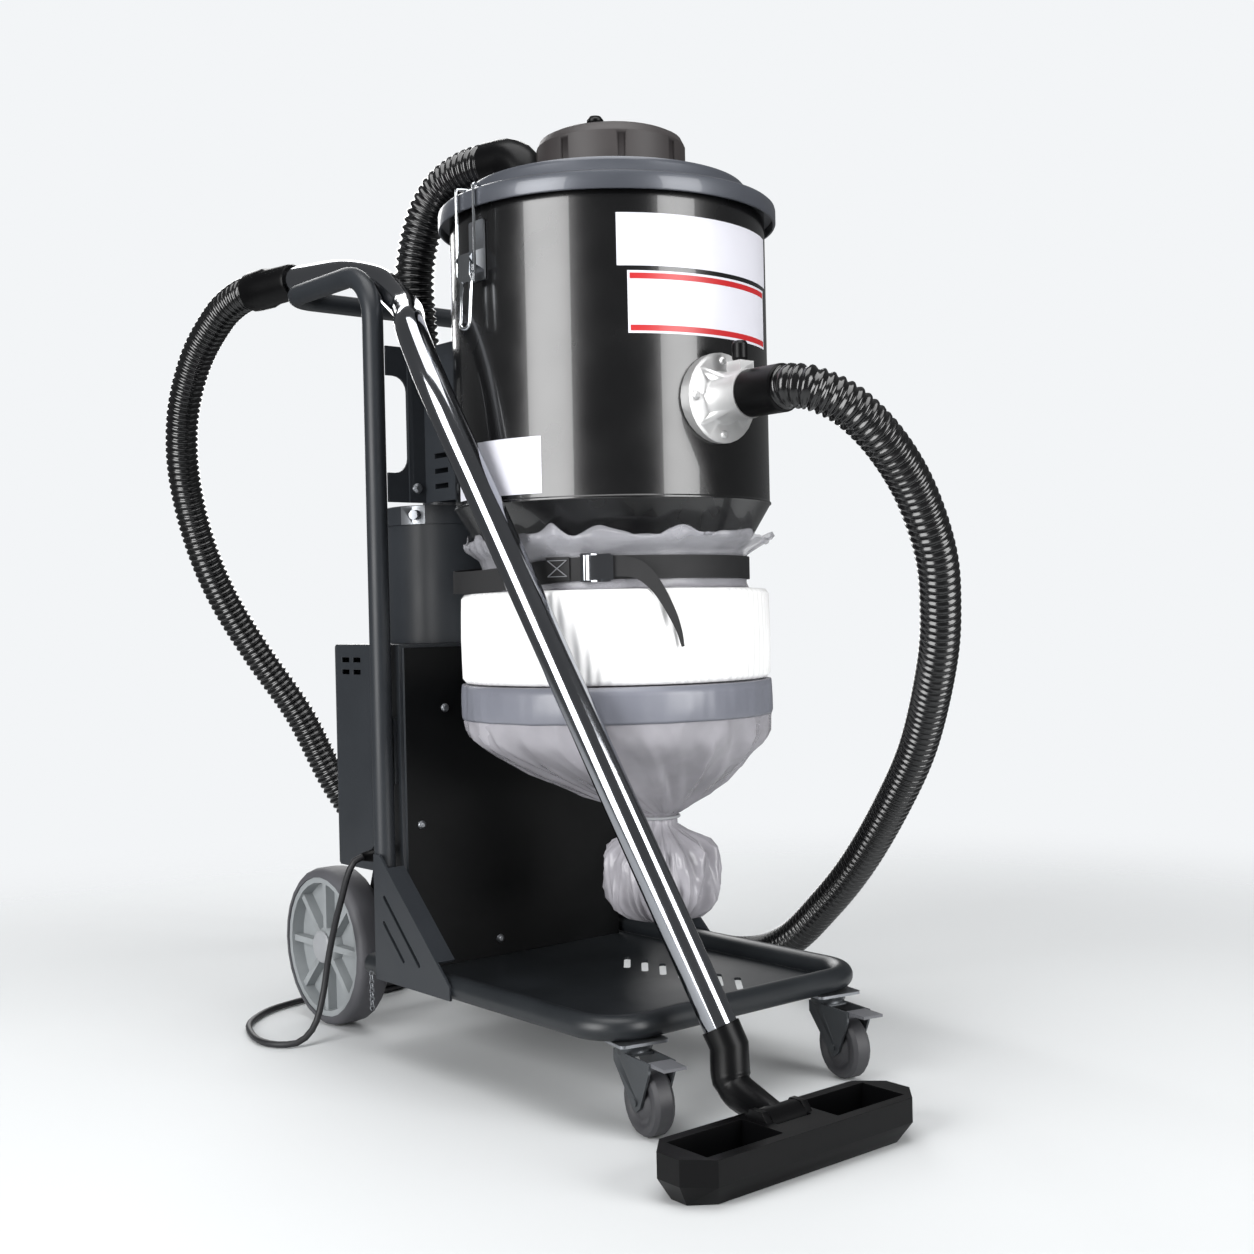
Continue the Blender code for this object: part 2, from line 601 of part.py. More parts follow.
def back_cover():
    """The louvred rear cover with its rocker switch."""
    near, far = BOX_BACK + GAP, BOX_BACK + GAP + BOX_WALL
    cover = prism("back_cover", "slate_powder_coat", rounded(-BOX_X, BOX_LOW, BOX_X, BOX_TOP, 0.004), near,
                  far, "xz")
    for row in range(6):
        z = BOX_LOW + 0.040 + 0.018 * row
        cut(cover, block("louvre", "slate_powder_coat", (-0.110, near - 0.01, z),
                         (0.020, far + 0.01, z + 0.007)))
    wide, tall, lip, deep = 0.010, 0.013, 0.004, 0.003
    bezel = block("switch_bezel", "black_plastic",
                  (SWITCH_X - wide - lip, far - BOX_WALL / 2, SWITCH_Z - tall - lip),
                  (SWITCH_X + wide + lip, far + deep, SWITCH_Z + tall + lip))
    join(cover, bezel)
    cut(cover, block("switch_hole", "slate_powder_coat", (SWITCH_X - wide, near - 0.01, SWITCH_Z - tall),
                     (SWITCH_X + wide, far + 0.01, SWITCH_Z + tall)))
    axis_y = far + deep - 0.001
    key = [(axis_y - 0.006, SWITCH_Z), (axis_y - 0.0005, SWITCH_Z - 0.0118),
           (axis_y + 0.006, SWITCH_Z - 0.0112),
           (axis_y + 0.002, SWITCH_Z), (axis_y + 0.0015, SWITCH_Z + 0.0116),
           (axis_y - 0.0025, SWITCH_Z + 0.0116)]
    rocker = prism("switch_rocker", "black_plastic", key, SWITCH_X - wide + GAP, SWITCH_X + wide - GAP, "yz")
    hinge_at(rocker, (SWITCH_X, axis_y, SWITCH_Z))


def motor():
    """The suction motor hanging from a deck inside the housing."""
    x, deck = BOX_X - BOX_WALL - GAP, BOX_TOP - 0.058
    front, back = BOX_FRONT + BOX_WALL + GAP, BOX_BACK - GAP
    unit = block("vacuum_motor", "platform_steel", (-x, front, deck), (x, back, deck + SHEET))
    top, wide, slim = deck + SHEET / 2, 0.066, 0.042
    outline = [(0, top), (0, top - 0.160), (slim - 0.010, top - 0.160), (slim, top - 0.145),
               (slim, top - 0.070),
               (wide, top - 0.065), (wide, top)]
    join(unit, turned("motor_body", "platform_steel", outline, (CAN_X, CAN_Y, 0), facets=SMALL + 8))
    cut(unit, rod("motor_eye", "platform_steel", 0.022, (CAN_X, CAN_Y, deck - 0.025),
                  (CAN_X, CAN_Y, deck + 0.01)))


def canister():
    """The fine-filter canister on the housing, with its cartridge and clamped lid."""
    low, at = BOX_TOP + GAP, (CAN_X, CAN_Y, 0)
    lid_low = CAN_TOP - GAP
    pot = [(PORT_R, low), (CAN_R, low), (CAN_R, lid_low), (CAN_R - CAN_WALL, lid_low),
           (CAN_R - CAN_WALL, low + CAN_WALL), (PORT_R, low + CAN_WALL)]
    turned("canister_body", "slate_powder_coat", pot, at, facets=ROUND)
    floor = low + CAN_WALL + GAP
    cartridge = [(PORT_R + 0.002, floor), (0.058, floor), (0.058, floor + 0.130), (0, floor + 0.130),
                 (0, floor + 0.126), (PORT_R + 0.002, floor + 0.126)]
    turned("hepa_filter", "filter_media", cartridge, at, facets=ROUND)
    skirt, outer, wall = CAN_R + GAP, CAN_R + 0.003, 0.003
    spout = CAN_TOP + 0.030
    lid = [(PORT_R - wall, CAN_TOP), (skirt, CAN_TOP), (skirt, CAN_TOP - 0.020), (outer, CAN_TOP - 0.020),
           (outer, CAN_TOP + wall - 0.001), (outer - 0.001, CAN_TOP + wall), (PORT_R, CAN_TOP + wall),
           (PORT_R, spout), (PORT_R - wall, spout)]
    cover = turned("canister_lid", "slate_powder_coat", lid, at, facets=ROUND)
    bearing = math.radians(-150)
    out = Vector((math.cos(bearing), math.sin(bearing), 0))
    spot = Vector((CAN_X, CAN_Y, CAN_TOP - 0.009)) + out * (outer - 0.001)
    join(cover, rod("clamp_bolt", "zinc_plate", 0.006, spot, spot + out * 0.009, 12))


# ---------------------------------------------------------------- brackets that carry the drum
def drum_bracket():
    """The folded saddle bolted to the drum's back, slotted at its sides."""
    x, wing, tab, wall = SADDLE_X, ARM_Y - GAP, SADDLE_X + 0.022, SHEET
    front = 0.060
    half = [(x, front), (x, wing - wall), (tab, wing - wall), (tab, wing), (x - wall, wing),
            (x - wall, SADDLE_Y + wall)]
    inside = [(x - wall, SADDLE_Y), (x - wall, front)]
    outline = (half + [(-a, b) for a, b in reversed(half)] + [(-a, b) for a, b in reversed(inside)]
               + inside)
    saddle = prism("drum_bracket", "slate_powder_coat", outline, SADDLE_LOW, SADDLE_TOP)
    cut(saddle, rod("saddle_fit", "slate_powder_coat", DRUM_R + GAP, (0, DRUM_Y, SADDLE_LOW - 0.01),
                    (0, DRUM_Y, SADDLE_TOP + 0.01), 96))
    for sign in (-1, 1):
        for i in range(3):
            z = SADDLE_LOW + 0.015 + 0.018 * i
            cut(saddle, block("saddle_slot", "slate_powder_coat", (sign * x - 0.01, 0.106, z),
                              (sign * x + 0.01, 0.134, z + 0.006)))
        for z in (SADDLE_LOW + 0.017, SADDLE_TOP - 0.019):
            screw(saddle, (sign * (x + 0.012), wing - wall, z), (0, -1, 0), 0.0065, 0.004)


def post_bracket(sign):
    """The C-shaped plate between an upright and the saddle."""
    outer = POST_X - beside_tube(POST_R, POST_Y - ARM_Y - SHEET)
    inner, arm, throat = SADDLE_X + GAP, SADDLE_X + 0.022, 0.035
    low, high = SADDLE_LOW, SADDLE_TOP
    bite = arc(arm + 0.018, high - throat - 0.018, 0.018, 90, 180, 5)
    foot = arc(arm + 0.018, low + throat + 0.018, 0.018, 180, 270, 5)
    outline = [(inner, low), (inner, high), (outer, high), (outer, high - throat)] + bite + foot
    outline += [(outer, low + throat), (outer, low)]
    outline = [(sign * x, z) for x, z in outline]
    prism("post_bracket_" + side_name(sign), "slate_powder_coat", outline, ARM_Y, ARM_Y + SHEET, "xz")


# ---------------------------------------------------------------- drum, lid and filter
def drum():
    """The drum with its discharge cone and the neck that the bag hangs from, all one shell."""
    wall, bead = DRUM_WALL, 0.0015
    outer = [(DRUM_R, DRUM_TOP), (DRUM_R, DRUM_LOW + 2 * bead), (DRUM_R + bead, DRUM_LOW + bead),
             (DRUM_R, DRUM_LOW), (CONE_R, CONE_LOW), (NECK_R, CONE_LOW - 0.006), (NECK_R, NECK_LOW)]
    inner = [(NECK_R - wall, NECK_LOW), (NECK_R - wall, CONE_LOW - 0.005), (CONE_R - wall, CONE_LOW + 0.001),
             (DRUM_R - wall, DRUM_LOW + 0.001), (DRUM_R - wall, DRUM_TOP)]
    shell = turned("drum_shell", "gloss_black", outer + inner, (0, DRUM_Y, 0), facets=DRUM_FACETS)
    front = DRUM_Y - DRUM_R
    cut(shell, rod("drum_inlet", "gloss_black", INLET_BORE, (0, front - 0.02, INLET_Z),
                   (0, front + 0.03, INLET_Z)))


def lid():
    """The spun lid and the cartridge filter that hangs from it inside the drum."""
    seat, rim_low, wall = DRUM_TOP + GAP, LID_EDGE - LID_RIM, 0.003
    under = LID_TOP - LID_WALL
    outline = [(0, LID_TOP), (LID_DISC_R - 0.003, LID_TOP), (LID_DISC_R, LID_TOP - 0.003),
               (LID_DISC_R + 0.001, LID_EDGE + 0.001), (LID_R - 0.005, LID_EDGE), (LID_R, LID_EDGE - 0.005),
               (LID_R, rim_low), (LID_R - wall, rim_low), (LID_R - wall, seat - 0.004), (DRUM_R + 0.001, seat),
               (LID_DISC_R - 0.003, seat), (LID_DISC_R - 0.006, under), (0, under)]
    cover = turned("lid", "lid_paint", outline, (0, DRUM_Y, 0), facets=DRUM_FACETS)
    cut(cover, rod("lid_outlet", "lid_paint", PORT_R - 0.005, (ELBOW_X, ELBOW_Y, LID_TOP - 0.02),
                   (ELBOW_X, ELBOW_Y, LID_TOP + 0.02)))
    hang, wide, low = under - GAP, 0.110, 0.700
    media = [(wide - 0.008, hang), (wide + 0.035, hang), (wide + 0.035, hang - 0.006), (wide, hang - 0.008),
             (wide, low), (0, low), (0, low + 0.005), (wide - 0.008, low + 0.005)]
    turned("main_filter", "filter_media", media, (0, DRUM_Y, 0), facets=ROUND)


def pulse_cap():
    """The grooved cap of the filter's pulse cleaner and its sprung push knob."""
    low, high, shoulder = LID_TOP + GAP, CAP_TOP, 0.012
    inner = CAP_R - CAP_WALL
    outline = [(0, high - CAP_WALL), (inner - shoulder, high - CAP_WALL), (inner, high - CAP_WALL - shoulder),
               (inner, low), (CAP_R, low), (CAP_R, high - shoulder), (CAP_R - 0.004, high - 0.004),
               (CAP_R - shoulder, high), (0, high)]
    cap = turned("pulse_cap", "brown_plastic", outline, (0, CAP_Y, 0), facets=40)
    for i in range(8):
        groove = block("cap_groove", "brown_plastic", (CAP_R - 0.0015, -0.004, low - 0.01),
                       (CAP_R + 0.01, 0.004, high - shoulder - 0.004))
        groove.matrix_basis = Matrix.Translation((0, CAP_Y, 0)) @ Matrix.Rotation(math.pi * (i + 0.3) / 4, 4,
                                                                                  "Z")
        cut(cap, groove)
    stem = 0.0045
    cut(cap, rod("knob_hole", "brown_plastic", stem + GAP, (KNOB_X, KNOB_Y, high - 0.02),
                 (KNOB_X, KNOB_Y, high + 0.02)))
    flange = high - CAP_WALL - GAP
    foot = high + KNOB_TRAVEL + 0.001
    knob = [(0, flange - 0.004), (stem + 0.003, flange - 0.004), (stem + 0.003, flange), (stem, flange),
            (stem, foot), (KNOB_R, foot + 0.001), (KNOB_R, foot + 0.005), (KNOB_R * 0.7, foot + 0.009),
            (0, foot + 0.010)]
    button = turned("pulse_knob", "black_plastic", knob, (KNOB_X, KNOB_Y, 0))
    hinge_at(button, (KNOB_X, KNOB_Y, high))


def outlet():
    """The elbow on the lid and the ribbed hose from it to the canister, held at both ends."""
    path = bent([(ELBOW_X, ELBOW_Y, LID_TOP + GAP), (ELBOW_X, ELBOW_Y, ELBOW_TOP), ELBOW_END], [0.036], 7)
    bar("lid_elbow", "black_plastic", path, ELBOW_R)
    out = (ELBOW_END - Vector((ELBOW_X, ELBOW_Y, ELBOW_TOP))).normalized()
    port = CAN_TOP + 0.030 + GAP
    stops = [ELBOW_END + out * 0.020, (-0.062, 0.160, 1.057), (-0.070, 0.190, 1.042), (-0.076, 0.218, 1.008),
             (-0.077, 0.240, 0.950), (-0.070, 0.246, 0.880), (-0.062, 0.240, 0.800),
             (CAN_X - 0.005, CAN_Y + 0.002, 0.730), (CAN_X, CAN_Y, port + 0.018)]
    path = [ELBOW_END + out * GAP] + route(stops, 0.022) + [(CAN_X, CAN_Y, port)]
    tube("suction_hose", "hose_plastic", path, CUFF_R, 3)


def inlet():
    """The cast inlet bolted to the drum, its sprung lock plunger, and the hose cuff in it."""
    depth = FLANGE_Y + 0.020
    outline = [(INLET_BORE, depth), (FLANGE_R, depth), (FLANGE_R, FLANGE_Y + 0.001),
               (FLANGE_R - 0.002, FLANGE_Y),
               (SPIGOT_R + 0.003, FLANGE_Y - 0.001), (SPIGOT_R, FLANGE_Y - 0.005), (SPIGOT_R, SPIGOT_Y),
               (INLET_BORE, SPIGOT_Y)]
    outline = [(radius, -y) for radius, y in outline]
    cast = turned("inlet_flange", "cast_aluminium", outline, (0, 0, INLET_Z), (0, -1, 0), ROUND)
    for bearing in (45, 135, 225, 315):
        rib = prism("flange_rib", "cast_aluminium",
                    [(FLANGE_Y + 0.002, SPIGOT_R - 0.002), (FLANGE_Y - 0.026, SPIGOT_R - 0.002),
                     (FLANGE_Y, FLANGE_R - 0.006), (FLANGE_Y + 0.002, FLANGE_R - 0.006)], -0.002, 0.002, "yz")
        rib.matrix_basis = Matrix.Translation((0, 0, INLET_Z)) @ Matrix.Rotation(math.radians(bearing), 4, "Y")
        join(cast, rib)
    for bearing in (0, 90, 180, 270):
        turn = math.radians(bearing)
        reach = FLANGE_R - 0.009
        screw(cast, (reach * math.sin(turn), FLANGE_Y, INLET_Z + reach * math.cos(turn)), (0, -1, 0), 0.005,
              0.0035)
    lug_top = INLET_Z + SPIGOT_R + 0.009
    join(cast, block("plunger_lug", "cast_aluminium", (-0.010, PLUNGER_Y - 0.010, INLET_Z + SPIGOT_R - 0.003),
                     (0.010, PLUNGER_Y + 0.010, lug_top)))
    stem, tip = 0.0035, INLET_Z + INLET_BORE + 0.0004
    cut(cast, rod("plunger_bore", "cast_aluminium", stem + GAP, (0, PLUNGER_Y, INLET_Z),
                  (0, PLUNGER_Y, lug_top + 0.01)))
    cut(cast, rod("inlet_back", "cast_aluminium", DRUM_R + GAP, (0, DRUM_Y, INLET_Z - 0.1),
                  (0, DRUM_Y, INLET_Z + 0.1), 96))
    head = lug_top + GAP
    outline = [(0, tip), (stem, tip), (stem, head), (0.0075, head), (0.0085, head + 0.003),
               (0.0085, head + 0.018),
               (0.0065, head + 0.021), (0, head + 0.022)]
    knob = turned("lock_knob", "black_plastic", outline, (0, PLUNGER_Y, 0))
    hinge_at(knob, (0, PLUNGER_Y, lug_top))
    plug_r, bore = INLET_BORE - GAP, INLET_BORE - 0.004
    end = SPIGOT_Y + 0.030
    outline = [(bore, end), (plug_r, end), (plug_r, SPIGOT_Y - GAP), (CUFF_R, SPIGOT_Y - GAP),
               (CUFF_R, CUFF_Y + 0.002),
               (CUFF_R - 0.002, CUFF_Y), (bore, CUFF_Y)]
    outline = [(radius, -y) for radius, y in outline]
    turned("inlet_cuff", "black_plastic", outline, (0, 0, INLET_Z), (0, -1, 0), ROUND)


def latch(sign):
    """A toggle latch: plate with ears, lever with a wire loop, and the bail hooked over the lid's rim."""
    start = len(MADE)
    side = side_name(sign)
    wall, gauge, ear_y = DRUM_R + GAP, 0.002, 0.0125
    pivot = Vector((DRUM_R + LATCH_OUT, 0, LATCH_Z))
    plate = prism("latch_plate_" + side, "zinc_plate", rounded(-0.014, LATCH_Z - 0.022, 0.014, LATCH_Z + 0.043,
                                                               0.003),
                  wall, wall + gauge, "yz")
    ear = [(wall + gauge / 2, LATCH_Z - 0.012), (pivot.x, LATCH_Z - 0.006), (pivot.x + 0.005, LATCH_Z),
           (pivot.x, LATCH_Z + 0.006), (wall + gauge / 2, LATCH_Z + 0.012)]
    for k in (-1, 1):
        join(plate, prism("latch_ear", "zinc_plate", ear, *sorted((k * ear_y, k * (ear_y + 0.0012))), "xz"))
    half = ear_y - GAP
    foot = LATCH_Z - BAIL_DROP
    body = [(pivot.x - 0.003, LATCH_Z + 0.004), (pivot.x + 0.003, LATCH_Z + 0.005),
            (pivot.x + 0.004, foot - 0.004),
            (pivot.x + 0.001, foot - 0.010), (pivot.x - 0.003, foot - 0.010)]
    lever = prism("latch_lever_" + side, "zinc_plate", body, -half + 0.001, half - 0.001, "xz")
    pin_at = Vector((pivot.x, 0, foot))
    join(lever, rod("bail_pin", "zinc_plate", 0.0014, pin_at - Vector((0, BAIL_HALF - BAIL_R - GAP, 0)),
                    pin_at + Vector((0, BAIL_HALF - BAIL_R - GAP, 0)), 12))
    grip, reach = 0.0085, 0.075
    loop = bent([(pivot.x, -grip, foot - 0.004), (pivot.x + 0.003, -grip, LATCH_Z - reach),
                 (pivot.x + 0.003, grip, LATCH_Z - reach), (pivot.x, grip, foot - 0.004)], [0.007, 0.007], 4)
    join(lever, bar("lever_loop", "zinc_plate", loop, 0.0022, 8))
    hinge_at(lever, pivot)
    top, hook = LID_EDGE + BAIL_R + 2 * GAP, LID_R - 0.010
    y = BAIL_HALF
    wire = bent([(pivot.x, -y, foot - 0.002), (pivot.x, -y, top), (hook, -y + 0.003, top),
                 (hook, y - 0.003, top),
                 (pivot.x, y, top), (pivot.x, y, foot - 0.002)], [0.003, 0.004, 0.004, 0.003], 3)
    hinge_at(bar("latch_bail_" + side, "zinc_plate", wire, BAIL_R, 8), pin_at)
    turn = 0 if sign > 0 else math.pi
    move_since(start, Matrix.Translation((0, DRUM_Y, 0)) @ Matrix.Rotation(turn, 4, "Z"))


# ---------------------------------------------------------------- bag, strap and buckle
def bag():
    """The ring that holds the bag's supply and the filled bag, one skin from neck to pouch."""
    hoop = [(HOOP_IN, HOOP_LOW), (HOOP_R - 0.003, HOOP_LOW), (HOOP_R, HOOP_LOW + 0.003),
            (HOOP_R, HOOP_TOP - 0.003),
            (HOOP_R - 0.003, HOOP_TOP), (HOOP_IN, HOOP_TOP)]
    turned("bag_cassette", "white_plastic", hoop, (0, DRUM_Y, 0), facets=BAG_FACETS)
    neck = BAG_IN + BAG_T
    low = HOOP_LOW - GAP
    outer = [(0, DRUM_Y, 0.600, 0.168), (0, DRUM_Y, 0.581, neck),
             (0, DRUM_Y, low, neck), (0, DRUM_Y, low, HOOP_R)]
    outer += [(0, DRUM_Y, 0.402, HOOP_R), (0.002, DRUM_Y, 0.367, 0.152), (0.014, -0.062, 0.325, 0.098),
              (0.028, -0.074, 0.298, 0.045), (TIE_X, TIE_Y, TIE_Z + 0.008, TIE_R),
              (TIE_X, TIE_Y, TIE_Z - 0.008, TIE_R),
              (TIE_X, TIE_Y, 0.258, POUCH_R * 0.80), (TIE_X, TIE_Y, 0.225, POUCH_R),
              (TIE_X, TIE_Y, 0.190, POUCH_R * 0.97),
              (TIE_X, TIE_Y, 0.166, POUCH_R * 0.70), (TIE_X, TIE_Y, POUCH_LOW, 0)]
    inner = []
    for x, y, z, radius in outer:
        if radius:
            lift = BAG_T if z == POUCH_LOW else 0
            inner.append((x, y, z + lift, radius - BAG_T))
    inner[2] = (0, DRUM_Y, low - BAG_T, neck - BAG_T)
    inner[3] = (0, DRUM_Y, low - BAG_T, HOOP_R - BAG_T)
    stations = outer + [(TIE_X, TIE_Y, POUCH_LOW + BAG_T, 0)] + inner[::-1]
    lofted("dust_bag", "bag_film", stations, BAG_FACETS)


def strap():
    """The webbing strap round the bag's neck, and its cam buckle."""
    inner = BAG_IN + BAG_T + GAP
    outer, half = inner + STRAP_T, STRAP_W / 2
    band = [(inner, STRAP_Z - half), (outer, STRAP_Z - half), (outer, STRAP_Z + half), (inner, STRAP_Z + half)]
    turned("strap", "webbing", band, (0, DRUM_Y, 0), facets=BAG_FACETS)
    start = len(MADE)
    base, wide, gauge = outer + GAP, 0.015, 0.002
    frame = block("buckle_frame", "chrome", (base, -0.016, STRAP_Z - wide),
                  (base + gauge, 0.016, STRAP_Z + wide))
    pin = Vector((base + 0.006, -0.010, STRAP_Z))
    cheek = [(base, -0.016), (base, -0.003), (pin.x + 0.003, -0.006), (pin.x + 0.003, -0.014),
             (base + 0.004, -0.016)]
    for k in (-1, 1):
        low, high = sorted((STRAP_Z + k * wide, STRAP_Z + k * (wide - 0.0015)))
        join(frame, prism("buckle_cheek", "chrome", cheek, low, high))
    hand = wide - 0.0015 - GAP
    lever = rod("buckle_lever", "chrome", 0.003, pin - Vector((0, 0, hand)), pin + Vector((0, 0, hand)), 16)
    blade = [(pin.x - 0.001, pin.y), (pin.x + 0.0015, pin.y - 0.001), (pin.x + 0.0015, 0.020), (pin.x, 0.020)]
    join(lever, prism("buckle_blade", "chrome", blade, STRAP_Z - hand, STRAP_Z + hand))
    hinge_at(lever, pin)
    move_since(start, Matrix.Translation((0, DRUM_Y, 0)) @ Matrix.Rotation(BUCKLE_AT, 4, "Z"))


# ---------------------------------------------------------------- hose, wand and floor nozzle
def wand():
    """The chromed wand standing in the nozzle and leaning over the push handle, with the hose's cuff."""
    rise = WAND_TURN - WAND_FOOT
    stops = [WAND_FOOT + rise * share for share in (0, 0.2, 0.4, 0.6, 0.8, 0.95)]
    stops += [(-0.216, 0.030, 0.833), (-0.192, 0.072, 0.858), (-0.167, 0.118, 0.878), (-0.152, 0.171, 0.905),
              (-0.146, 0.217, 0.930), (-0.147, 0.297, 0.952), WAND_REST]
    along = (CUFF_END - WAND_END).normalized()
    path = route(stops + [WAND_END - along * 0.014], 0.042) + [WAND_END]
    bar("wand", "chrome", path, WAND_R)
    path = [WAND_END + along * reach for reach in (GAP, 0.004, 0.055, 0.060, 0.092, 0.094)]
    bar("wand_cuff", "black_plastic", path, [0.021, 0.023, 0.024, 0.0265, 0.0265, 0.025])


def nozzle():
    """The floor head, which tilts on the barrel of its elbow, and the elbow that takes the wand."""
    left, right = NOZZLE_X - NOZZLE_L / 2, NOZZLE_X + NOZZLE_L / 2
    front, back, nip = NOZZLE_Y - NOZZLE_D / 2, NOZZLE_Y + NOZZLE_D / 2, 0.024
    outline = [(left, front + nip), (left + nip, front), (right - nip, front), (right, front + nip),
               (right, back - nip), (right - nip, back), (left + nip, back), (left, back - nip)]
    shrink_x, shrink_y = 1 - 2 * NOZZLE_UNDERCUT / NOZZLE_L, 1 - 2 * NOZZLE_UNDERCUT / NOZZLE_D
    sole = [(NOZZLE_X + (x - NOZZLE_X) * shrink_x, NOZZLE_Y + (y - NOZZLE_Y) * shrink_y) for x, y in outline]
    levels = [(sole, 0), (outline, NOZZLE_KNEE), (outline, NOZZLE_H)]
    count = len(outline)
    points = [(x, y, z) for ring, z in levels for x, y in ring]
    faces = [tuple(range(count)), tuple(range(2 * count, 3 * count))]
    for low in (0, count):
        faces += skin(list(range(low, low + count)), list(range(low + count, low + 2 * count)), count)
    head = mesh_object("nozzle_head", "black_plastic", points, faces)
    ear, fork = 0.030, 0.0225
    ears = [(TILT_Y - 0.018, NOZZLE_H - 0.004), (TILT_Y + 0.018, NOZZLE_H - 0.004),
            (TILT_Y + 0.008, TILT_Z + 0.017),
            (TILT_Y - 0.008, TILT_Z + 0.017)]
    join(head, prism("pivot_ears", "black_plastic", ears, NOZZLE_X - ear, NOZZLE_X + ear, "yz"))
    floor = TILT_Z - TILT_R - 2 * RUN
    cut(head, block("elbow_bay", "black_plastic", (NOZZLE_X - fork, TILT_Y - TILT_R - 0.004, floor),
                    (NOZZLE_X + fork, back + 0.01, NOZZLE_H + 0.02)))
    pin = 0.005
    cut(head, rod("pivot_bore", "black_plastic", pin + GAP, (NOZZLE_X - ear - 0.003, TILT_Y, TILT_Z),
                  (NOZZLE_X + ear + 0.003, TILT_Y, TILT_Z)))
    for k in (-1, 1):
        x0, x1 = sorted((NOZZLE_X + k * 0.036, NOZZLE_X + k * (NOZZLE_L / 2 - 0.022)))
        cut(head, block("pocket", "black_plastic", (x0, front + 0.012, 0.018),
                        (x1, back - 0.012, NOZZLE_H + 0.01)))
    cut(head, prism("mouth", "black_plastic", rounded(left + 0.022, front + 0.020, right - 0.022,
                                                      front + 0.040, 0.004),
                    -0.01, 0.010))
    hinge_at(head, (NOZZLE_X, TILT_Y, TILT_Z))
    axis = Vector((NOZZLE_X, TILT_Y, TILT_Z))
    reach = fork - RUN
    elbow = rod("nozzle_elbow", "black_plastic", TILT_R, axis - Vector((reach, 0, 0)),
                axis + Vector((reach, 0, 0)))
    join(elbow, rod("pivot_pin", "black_plastic", pin, axis - Vector((ear, 0, 0)), axis + Vector((ear, 0, 0)),
                    16))
    rise = (WAND_TURN - WAND_FOOT).normalized()
    top = WAND_FOOT - rise * GAP
    path = bent([axis + Vector((0, 0.004, 0.001)), (NOZZLE_X, -0.340, 0.056), top - rise * 0.020], [0.024], 6)
    path.append(top)
    join(elbow, bar("elbow_neck", "black_plastic", path, [0.0155] + [0.0175] * 4 + [0.0195] * (len(path) - 5)))


def main_hose():
    """The long ribbed hose, hanging from the inlet to the floor and up behind to the wand."""
    stops = [(0, CUFF_Y - 0.012, INLET_Z), (0.010, -0.362, 0.738), (0.040, -0.381, 0.720),
             (0.084, -0.388, 0.686), (0.137, -0.381, 0.639),
             (0.184, -0.368, 0.578), (0.218, -0.346, 0.524), (0.254, -0.311, 0.457), (0.307, -0.239, 0.359),
             (0.336, -0.173, 0.281), (0.362, -0.091, 0.195), (0.377, -0.014, 0.126), (0.393, 0.075, 0.062),
             (0.409, 0.180, 0.0285), (0.408, 0.320, 0.0265), (0.370, 0.470, 0.0265), (0.290, 0.610, 0.037),
             (0.190, 0.710, 0.095), (0.095, 0.755, 0.240), (0.030, 0.768, 0.370), (-0.034, 0.777, 0.466),
             (-0.085, 0.776, 0.545), (-0.125, 0.763, 0.618), (-0.156, 0.744, 0.695), (-0.178, 0.715, 0.765),
             (-0.188, 0.680, 0.832), (-0.187, 0.635, 0.893), (-0.180, 0.580, 0.938), (-0.173, 0.545, 0.9555),
             HOSE_END + HOSE_OUT * 0.015]
    path = [(0, CUFF_Y - GAP, INLET_Z)] + route(stops, 0.050) + [HOSE_END]
    tube("main_hose", "hose_plastic", path, HOSE_R, 3)


